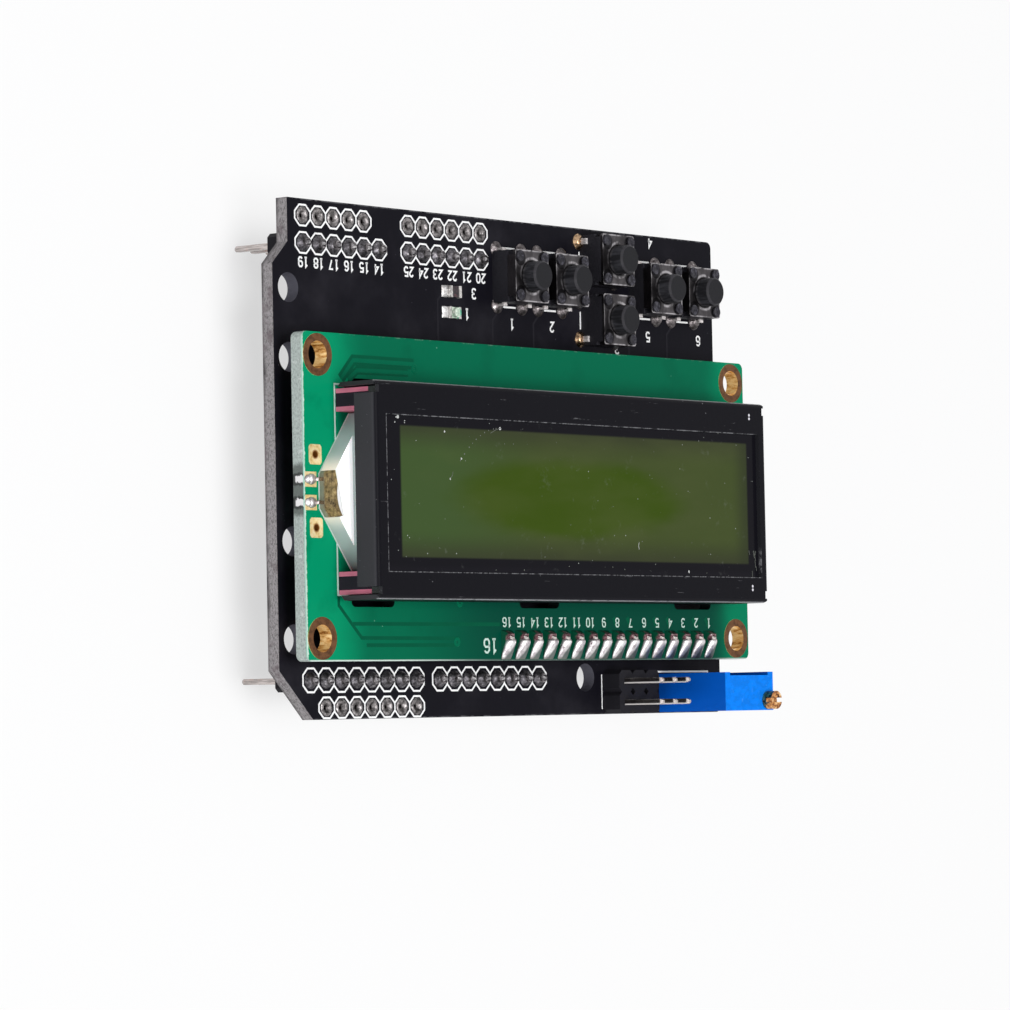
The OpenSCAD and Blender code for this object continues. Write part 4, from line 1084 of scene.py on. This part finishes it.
class KEYPAD_OT_pads(BuildStep):
    """Lay the tinned and gold pads with their barrels"""

    bl_idname = "keypad.pads"
    bl_label = "Pads"

    def execute(self, context):
        s, tones = self.sizes, self.board_tones
        base, bottom = high("carrier_board").z, low("carrier_board").z
        face, edge, centre = high("display_board").z, high("display_board").x, middle("bezel").y
        lamp_pads = [(edge - LAMP_PAD[0], centre + side * LAMP_PAD[1]) for side in (-1, 1)]
        golden_legs = [outer_leg(key) for key in TURNED_KEYS]

        def cone(mesh, x, y, radius, hole, tall, flat):
            """A solder fillet that climbs a leg."""
            profile = ((radius, 0), (radius * 0.97, 0.08), (radius * 0.8, tall * 0.3),
                       (radius * flat, tall * 0.75), (hole, tall), (hole * 0.4, tall * 1.04))
            turned(mesh, x, y, [(r, base + z) for r, z in profile], caps=(-1,))

        def spare(mesh):
            """Solder-coated pads that sink smoothly into their barrels."""
            radius, hole = s.pad_d / 2, 0.5
            profile = [(radius, base), (radius - 0.05, base + 0.045), (radius - 0.25, base + 0.1),
                       (hole + 0.1, base + 0.07), (hole * 0.9, base - 0.06), (hole * 0.6, base - 0.2),
                       (hole * 0.36, base - 0.42), (hole * 0.288, base - 0.9), (hole * 0.8, bottom + 0.1),
                       (hole * 0.97, bottom), (hole + 0.3, bottom - 0.05), (hole + 0.32, bottom)]
            for x, y in spare_places(s.spare_gap):
                turned(mesh, x, y, profile)

        def rows(mesh):
            for name, count in ROWS.items():
                for i, (x, y) in enumerate(row_places(name + "_pins", count)):
                    cone(mesh, x, y, s.pad_d / 2, 0.34, 0.62 + 0.08 * math.sin(i * 2.1), 0.62)

        def legs(mesh):
            for key in KEYS:
                for i, leg in enumerate(key_legs(key)):
                    if leg not in golden_legs:
                        cone(mesh, *leg, s.leg_pad_d / 2, 0.4, 0.55 + 0.12 * math.sin(i * 1.9), 0.6)

        def golden(mesh):
            for leg in golden_legs:
                cone(mesh, *leg, s.leg_pad_d / 2, 0.45, 0.5, 0.75)

        def square(mesh):
            """Square pads with cut corners and a barrel."""
            side, around = s.lamp_pad / 2, 48
            rays = [(math.cos(math.tau * i / around), math.sin(math.tau * i / around)) for i in range(around)]
            reach = [side / max(abs(cx), abs(cy), 0.57 * (abs(cx) + abs(cy))) for cx, cy in rays]
            for x, y in lamp_pads:
                outer = [(x + 0.88 * cx * r, y + 0.94 * cy * r) for (cx, cy), r in zip(rays, reach)]
                inner = [(x + cx * 0.36, y + cy * 0.36) for cx, cy in rays]
                top = face + s.pad_t
                levels = ((outer, face), (outer, top), (inner, top), (inner, low("display_board").z))
                loft(mesh, [[(*q, z) for q in loop] for loop, z in levels], ())

        def lead_pads(mesh):
            side = s.lead_pad
            for sign in (-1, 1):
                y = middle("lamp_leads").y + sign * HALF_PITCH
                plate(mesh, rectangle(edge - side / 2 - 0.12, y, side, side * 0.9), face, face + s.pad_t)

        gold = gold_finish(tones, lamp_pads)
        piece("spare_pads", pad_finish("tinned_pad", (0.15, 0.14, 0.14)), spare, True)
        piece("row_pads", pad_finish("row_solder", (0.085, 0.08, 0.088)), rows, True)
        piece("leg_pads", pad_finish("leg_solder", (0.10, 0.088, 0.09)), legs, True)
        amber = metal_finish("amber_solder", (0.50, 0.33, 0.20), 0.24, 0.2, 0.45)
        piece("gold_leg_pads", amber, golden, True)
        piece("lamp_pads", gold, square)
        piece("lead_pads", gold, lead_pads)
        return {"FINISHED"}


class KEYPAD_OT_traces(BuildStep):
    """Lay the traces that show under the lacquer of both boards"""

    bl_idname = "keypad.traces"
    bl_label = "Traces"

    def execute(self, context):
        s, tones = self.sizes, self.board_tones
        face, base = high("display_board").z, high("carrier_board").z
        near, far = low("display_board").y, high("display_board").y
        corner = high("bezel").x

        def places(side, *points):
            """Places from the bezel's end and one long edge of the display board."""
            return [(corner - x, near + y if side < 0 else far - y) for x, y in points]

        gaps_of_board = [
            (1.25, places(-1, (1.9, 5.0), (4.0, 2.85), (14.2, 2.85))),
            (0.95, places(-1, (3.1, 5.0), (4.6, 3.95), (13.2, 3.85))),
            (0.42, places(1, (0.9, 7.4), (0.9, 6.1), (4.6, 2.55), (21.4, 2.5))),
            (0.42, places(1, (3.2, 4.1), (28.4, 4.1))),
            (0.42, places(1, (5.4, 1.75), (20.6, 1.75))),
        ]
        for i, (x, y) in enumerate(row_places("display_pins", DISPLAY_PINS)):
            if i % 3 != 1 and i > 1:
                gaps_of_board.append((0.6, [(x - 0.1, y - 1.35), (x + 0.55, y - 2.45)]))

        def gaps(mesh):
            for i, (wide, line) in enumerate(gaps_of_board):
                ribbon(mesh, line, s.gap_w * wide, face, face + 0.008 + 0.0006 * i)

        def traces(mesh):
            for i, (_, line) in enumerate(gaps_of_board[:2]):
                ribbon(mesh, line, s.trace_w, face, face + 0.026 + 0.0006 * i)
            for x, y in places(-1, (14.3, 3.35)) + places(1, (21.4, 6.55), (20.8, 2.1)):
                turned(mesh, x, y, [(0.55, face), (0.5, face + 0.05), (0.2, face + 0.05), (0.14, face)], 20)

        def carrier(mesh):
            lines = []
            for key in ("reset", "right", "left", "select"):
                x, y = (max(places) for places in zip(*key_legs(key)))
                lines.append([(x, y + 0.9), (x + 0.9, y + 1.8), (x + 0.9, near + 1.5)])
            chip = middle("chip_resistor")
            lines.append([(chip.x + 1.6, chip.y), (chip.x + 2.7, chip.y + 1.1), (chip.x + 2.7, near + 1.0)])
            for i, line in enumerate(lines, 1):
                ribbon(mesh, line, s.trace_w * 0.62, base, base + 0.012 + 0.0004 * i)

        piece("display_gaps", lacquer_finish("green_gap", shade(tones.green_mask, 0.66)), gaps)
        piece("display_traces", lacquer_finish("green_trace", shade(tones.green_mask, 0.96)), traces)
        piece("carrier_traces", lacquer_finish("black_trace", shade(tones.black_sheen, 0.95)), carrier)
        return {"FINISHED"}


class KEYPAD_OT_solder(BuildStep):
    """Flow the solder over the display's pins and the lamp's leads"""

    bl_idname = "keypad.solder"
    bl_label = "Solder"

    def execute(self, context):
        tones = self.board_tones
        dress(solder_finish(tones), "rear_solder")
        dress(pad_finish("row_solder_dark", (0.12, 0.11, 0.115)), "row_solder")
        dress(heads_finish(tones), "display_solder")
        bright = slope_finish()
        face = high("display_board").z

        def slopes(mesh):
            around = 14
            turns = [math.pi * k / (around - 1) for k in range(around)]
            # Distance from the pin, half of the width, height
            sections = ((-0.1, 0.68, 0.12), (0.0, 0.72, 0.8), (0.18, 0.76, 1.08), (0.45, 0.79, 1.12),
                        (1.0, 0.82, 0.88), (1.5, 0.87, 0.6), (2.0, 0.88, 0.33), (2.3, 0.84, 0.14),
                        (2.4, 0.76, 0.05))
            for i, (x, y) in enumerate(row_places("display_pins", DISPLAY_PINS)):
                swell = 1.0 + 0.06 * math.sin(i * 2.4)
                loft(mesh, [[(x + 0.1 * along - 0.1 + half * swell * math.cos(a), y + along,
                              face + tall * swell * max(0.0, math.sin(a)) ** 0.5) for a in turns]
                            for along, half, tall in sections])

        def lumps(mesh):
            end, mid = high("display_board").x, middle("lamp_leads").y
            for y in (mid - HALF_PITCH, mid + HALF_PITCH):
                for inset, r, tall in ((0.6, 0.5, 0.42), (1.05, 0.62, 0.5)):
                    profile = ((r, 0), (r * 0.93, tall * 0.5), (r * 0.6, tall * 0.9), (r * 0.1, tall))
                    turned(mesh, end - inset, y, [(q, face + z) for q, z in profile], 20, 1.15, (-1,))

        piece("header_solder", bright, slopes, True)
        piece("lead_solder", bright, lumps, True)
        return {"FINISHED"}


class KEYPAD_OT_pins(BuildStep):
    """Finish the pin rows and their strips"""

    bl_idname = "keypad.pins"
    bl_label = "Pin rows"

    def execute(self, context):
        parts = self.part_tones
        black = moulding_finish("black_moulding", shade(parts.moulding, 0.6), 0.4, 0.06, 0.5, 0.02)
        dress(black, "display_strip", "aux_strip", *(row + "_strip" for row in ROWS))
        row_metal = pin_finish(parts, "row_pins", dull_from=high("carrier_board").z)
        dress(row_metal, *(row + "_pins" for row in ROWS))
        dress(pin_finish(parts), "display_pins", "trimmer_pins", "lamp_leads")
        # The legs are pale and barely metallic: a painted glint on their shoulders.
        dress(pin_finish(parts, "leg_metal", 0.2, tone=(0.92, 0.86, 0.85)), "key_legs")
        dress(pin_finish(parts, "aux_metal", row=low("aux_pins").y + 0.32), "aux_pins")
        return {"FINISHED"}


class KEYPAD_OT_display(BuildStep):
    """Finish the display stack and its bezel"""

    bl_idname = "keypad.display"
    bl_label = "Display"

    def execute(self, context):
        parts = self.part_tones
        dress(bezel_finish(parts), "bezel")
        dress(window_finish(parts, self.sizes), "front_polariser")
        dress(glass_finish(), "front_glass", "rear_glass")
        dress(moulding_finish("rear_polariser", (0.05, 0.055, 0.045), 0.3), "rear_polariser")
        dress(moulding_finish("contact_rubber", parts.contact[:], 0.6), "lower_contact_strip",
              "upper_contact_strip")
        dress(moulding_finish("contact_skin", parts.skin[:], 0.55, 0.3, 0.3, 0.02), "contact_skins")
        dress(moulding_finish("white_sheet", (0.82, 0.83, 0.83), 0.5), "reflector_sheet", "diffuser_sheet")
        dress(moulding_finish("black_resin", (0.012, 0.012, 0.014), 0.25, 0.5, 1.4, 0.03), "driver_chips")
        return {"FINISHED"}


class KEYPAD_OT_dust(BuildStep):
    """Lay the dust and hairs on the window"""

    bl_idname = "keypad.dust"
    bl_label = "Dust"

    def execute(self, context):
        face = high("front_polariser").z
        top = face + 0.015
        dice = random.Random(5)
        corners = 7

        def grain(mesh, x, y, size):
            radii = [size * dice.uniform(0.6, 1.2) for _ in range(corners)]
            turns = [i * math.tau / corners for i in range(corners)]
            plate(mesh, [(x + r * math.cos(a), y + r * math.sin(a)) for r, a in zip(radii, turns)], face, top)

        def hair(mesh, *points, width=0.05):
            ribbon(mesh, points, width, face, top)

        def bright(mesh):
            for x, y, size in ((31.3, -4.2, 0.22), (13.8, -3.5, 0.2), (23.4, -2.8, 0.14), (20.6, 0.1, 0.15),
                               (-20.5, 12.2, 0.16), (22.6, 2.4, 0.12)):
                grain(mesh, x, y, size)
            for _ in range(5):
                x, y = 31.0 + dice.uniform(-0.9, 0.9), -4.1 + dice.uniform(-0.6, 0.6)
                grain(mesh, x, y, dice.uniform(0.06, 0.13))
            hair(mesh, (-11.1, 8.9), (-11.0, 9.3), (-11.1, 9.7), width=0.06)

        def faint(mesh):
            for i in range(11):
                away = i * 0.68 + dice.uniform(-0.2, 0.2)
                grain(mesh, 13.8 + away, -3.5 + 0.078 * away * away, dice.uniform(0.05, 0.1))
            for _ in range(26):
                x = dice.uniform(-33.0, 31.0)
                y = dice.choice((dice.uniform(-4.4, -1.5), dice.uniform(8.5, 12.8)))
                grain(mesh, x, y, dice.uniform(0.04, 0.09))
            for _ in range(7):
                x, y = -33.9 + dice.uniform(0, 1.6), 9.4 + dice.uniform(0, 2.6)
                hair(mesh, (x, y), (x + dice.uniform(-0.3, 0.3), y + dice.uniform(0.5, 1.2)))
            hair(mesh, (13.8, -3.5), (14.6, -3.3), (15.5, -2.9))
            hair(mesh, (22.6, 2.4), (22.2, 2.0), (22.1, 1.6))

        piece("window_dust", moulding_finish("pale_dust", (0.55, 0.56, 0.55), 0.8, 0.1), bright)
        piece("window_haze", moulding_finish("grey_dust", (0.16, 0.17, 0.15), 0.8, 0.1), faint)
        return {"FINISHED"}


class KEYPAD_OT_backlight(BuildStep):
    """Finish the light guide and its lamp"""

    bl_idname = "keypad.backlight"
    bl_label = "Backlight"

    def execute(self, context):
        dress(guide_finish(self.part_tones), "light_guide")
        dress(lamp_finish(self.part_tones), "backlight_lamp")
        return {"FINISHED"}


class KEYPAD_OT_keys(BuildStep):
    """Finish the push buttons"""

    bl_idname = "keypad.keys"
    bl_label = "Push buttons"

    def execute(self, context):
        for part, make in (("_base", base_finish), ("_cover", cover_finish), ("_plunger", plunger_finish)):
            dress(make(self.part_tones), *(key + part for key in KEYS))
        dress(metal_finish("dome_steel", (0.5, 0.5, 0.5), 0.25), "key_domes")
        return {"FINISHED"}


class KEYPAD_OT_trimmer(BuildStep):
    """Finish the trimmer"""

    bl_idname = "keypad.trimmer"
    bl_label = "Trimmer"

    def execute(self, context):
        dress(housing_finish(self.part_tones), "trimmer_housing")
        dress(brass_finish(self.part_tones), "trimmer_screw")
        dress(moulding_finish("white_moulding", (0.75, 0.75, 0.72), 0.45), "trimmer_rotor")
        dress(moulding_finish("ceramic", (0.7, 0.68, 0.62), 0.6), "trimmer_element")
        dress(moulding_finish("blue_resin", (0.01, 0.09, 0.4), 0.3), "trimmer_seal")
        return {"FINISHED"}


class KEYPAD_OT_small_parts(BuildStep):
    """Finish the chip resistor and the power lamp, and solder their ends"""

    bl_idname = "keypad.small_parts"
    bl_label = "Small parts"

    def execute(self, context):
        nodes = ("chip_resistor", "power_lamp")
        base = high("carrier_board").z
        turns = [math.pi * k / 9 for k in range(10)]

        def lands(mesh):
            for a, b in map(ends, nodes):
                half, y = (b.y - a.y) / 2 + 0.06, (a.y + b.y) / 2
                for x, side, reach in ((b.x, 1, 0.95), (a.x, -1, 0.5)):
                    # Distance outwards from the part's end, half of the width, height
                    sections = ((-0.28, half, 0.02), (0.02, half, 0.34), (reach * 0.4, half * 0.98, 0.16),
                                (reach - 0.08, half * 0.95, 0.07), (reach, half * 0.9, 0.01))
                    loft(mesh, [[(x + side * out, y + w * math.cos(t),
                                  base + tall * max(0.0, math.sin(t)) ** 0.5) for t in turns]
                                for out, w, tall in sections])

        for node in nodes:
            dress(small_part_finish(node), node)
        piece("chip_lands", solder_finish(self.board_tones, "land_solder", 1.2, 0.32), lands, True)
        return {"FINISHED"}


class KEYPAD_OT_stage(BuildStep):
    """Set up the floor, the surroundings, the lamps and the camera"""

    bl_idname = "keypad.stage"
    bl_label = "Stage"

    def execute(self, context):
        scene = context.scene
        s = scene.stage_sizes
        self.lay_floor(scene, s)
        self.set_surroundings(scene, s.sky)
        centre = (Vector(CAD_BOX[0]) + Vector(CAD_BOX[1])) / 2
        lamps = (("top_lamp", (0.28, 0.12, 0.9), s.top_lamp), ("side_lamp", (0.95, 0.35, 0.25), s.side_lamp))
        for name, place, power in lamps:
            light = bpy.data.lights.new(name, "AREA")
            light.energy, light.size = power, 0.5
            lamp = bpy.data.objects.new(name, light)
            lamp.location = centre + Vector(place)
            lamp.rotation_euler = (centre - lamp.location).to_track_quat("-Z", "Y").to_euler()
            scene.collection.objects.link(lamp)

        camera = bpy.data.cameras.new("camera")
        camera.lens, camera.sensor_width = s.lens, 36
        camera.clip_start, camera.clip_end = 0.01, 20
        obj = bpy.data.objects.new("camera", camera)
        right = (-0.63838, 0.01992, 0.76947)
        up = (0.02214, -0.99878, 0.04422)
        back = (0.76941, 0.04526, 0.63715)
        turn = Matrix((right, up, back)).transposed().to_4x4()
        obj.matrix_world = Matrix.Translation(Vector(s.camera_place)) @ turn
        scene.collection.objects.link(obj)
        scene.camera = obj
        scene.view_settings.view_transform = "Standard"
        return {"FINISHED"}

    def lay_floor(self, scene, s):
        """A pale floor that the camera sees as nearly white, with the part's shadow, and painted shade under
        the part where less of the white emission shows.
        """
        data = bpy.data.meshes.new("floor")
        mesh = bmesh.new()
        bmesh.ops.create_grid(mesh, x_segments=8, y_segments=8, size=3.0)
        bmesh.ops.translate(mesh, verts=mesh.verts, vec=(0, 0, -0.0001))
        mesh.to_mesh(data)
        mesh.free()
        floor = bpy.data.objects.new("floor", data)
        scene.collection.objects.link(floor)
        f = Finish("floor", roughness=0.7, specular=0.2)
        f.close(f.blend(f.noise(60, 2), s.floor[:], shade(s.floor, 0.985)), relief=(f.noise(3, 2), 0.002))
        path = f.add("LightPath", output="Is Camera Ray")
        seen = path.most(path.other("Is Glossy Ray")).most(path.other("Is Transmission Ray"))
        x, y, _ = f.xyz
        reach = Vector(CAD_BOX[1]) / MM
        # Painted shade: under the part less of the white emission shows, darkening the floor beside its real
        # shadow.
        under = f.step(abs(x), reach.x, reach.x - 8) * f.step(abs(y), reach.y, reach.y - 6)
        glow = f.add("Emission", None, {"Color": (1, 1, 1), "Strength": 1.0})
        plain = Value(f, f.shader.outputs["BSDF"])
        mix = f.add("MixShader", None, {0: seen * (0.86 - under * 0.24), 1: plain, 2: glow})
        f.tree.links.new(mix.socket, f.out.inputs["Surface"])
        data.materials.append(f.material)

    def set_surroundings(self, scene, strength):
        """Weak light from all round, and white behind the part."""
        world = bpy.data.worlds.new("surroundings")
        scene.world = world
        world.use_nodes = True
        tree = world.node_tree
        tree.nodes.clear()
        rays = tree.nodes.new("ShaderNodeLightPath")
        seen = rays.outputs["Is Camera Ray"]
        for name in ("Is Glossy Ray", "Is Transmission Ray"):
            node = tree.nodes.new("ShaderNodeMath")
            node.operation = "MAXIMUM"
            tree.links.new(seen, node.inputs[0])
            tree.links.new(rays.outputs[name], node.inputs[1])
            seen = node.outputs[0]
        mix = tree.nodes.new("ShaderNodeMixShader")
        tree.links.new(seen, mix.inputs[0])
        for i, (tone, power) in enumerate((((0.95, 0.97, 1.0, 1), strength), ((1, 1, 1, 1), 1.0)), 1):
            light = tree.nodes.new("ShaderNodeBackground")
            light.inputs["Color"].default_value = tone
            light.inputs["Strength"].default_value = power
            tree.links.new(light.outputs[0], mix.inputs[i])
        out = tree.nodes.new("ShaderNodeOutputWorld")
        tree.links.new(mix.outputs[0], out.inputs["Surface"])


STEPS = (KEYPAD_OT_boards, KEYPAD_OT_print, KEYPAD_OT_pads, KEYPAD_OT_traces, KEYPAD_OT_solder,
         KEYPAD_OT_pins, KEYPAD_OT_display, KEYPAD_OT_dust, KEYPAD_OT_backlight, KEYPAD_OT_keys,
         KEYPAD_OT_trimmer, KEYPAD_OT_small_parts, KEYPAD_OT_stage)
GROUPS = {"board_colours": BoardColours, "part_colours": PartColours, "fine_sizes": FineSizes,
          "stage_sizes": StageSizes}


class KEYPAD_PT_panel(bpy.types.Panel):
    """The steps of the model and its sizes and colours"""

    bl_idname = "KEYPAD_PT_panel"
    bl_label = "Display and keypad board"
    bl_space_type = "VIEW_3D"
    bl_region_type = "UI"
    bl_category = "Keypad board"

    def draw(self, context):
        for step in STEPS:
            self.layout.operator(step.bl_idname)
        for name, group in GROUPS.items():
            box = self.layout.box()
            for value in group.__annotations__:
                box.prop(getattr(context.scene, name), value)


CLASSES = (*GROUPS.values(), *STEPS, KEYPAD_PT_panel)


def register():
    for kind in CLASSES:
        bpy.utils.register_class(kind)
    for name, group in GROUPS.items():
        setattr(bpy.types.Scene, name, PointerProperty(type=group))


def unregister():
    for name in GROUPS:
        delattr(bpy.types.Scene, name)
    for kind in reversed(CLASSES):
        bpy.utils.unregister_class(kind)


def main():
    register()
    for step in STEPS:
        group, name = step.bl_idname.split(".")
        getattr(getattr(bpy.ops, group), name)()


if __name__ == "__main__":
    main()
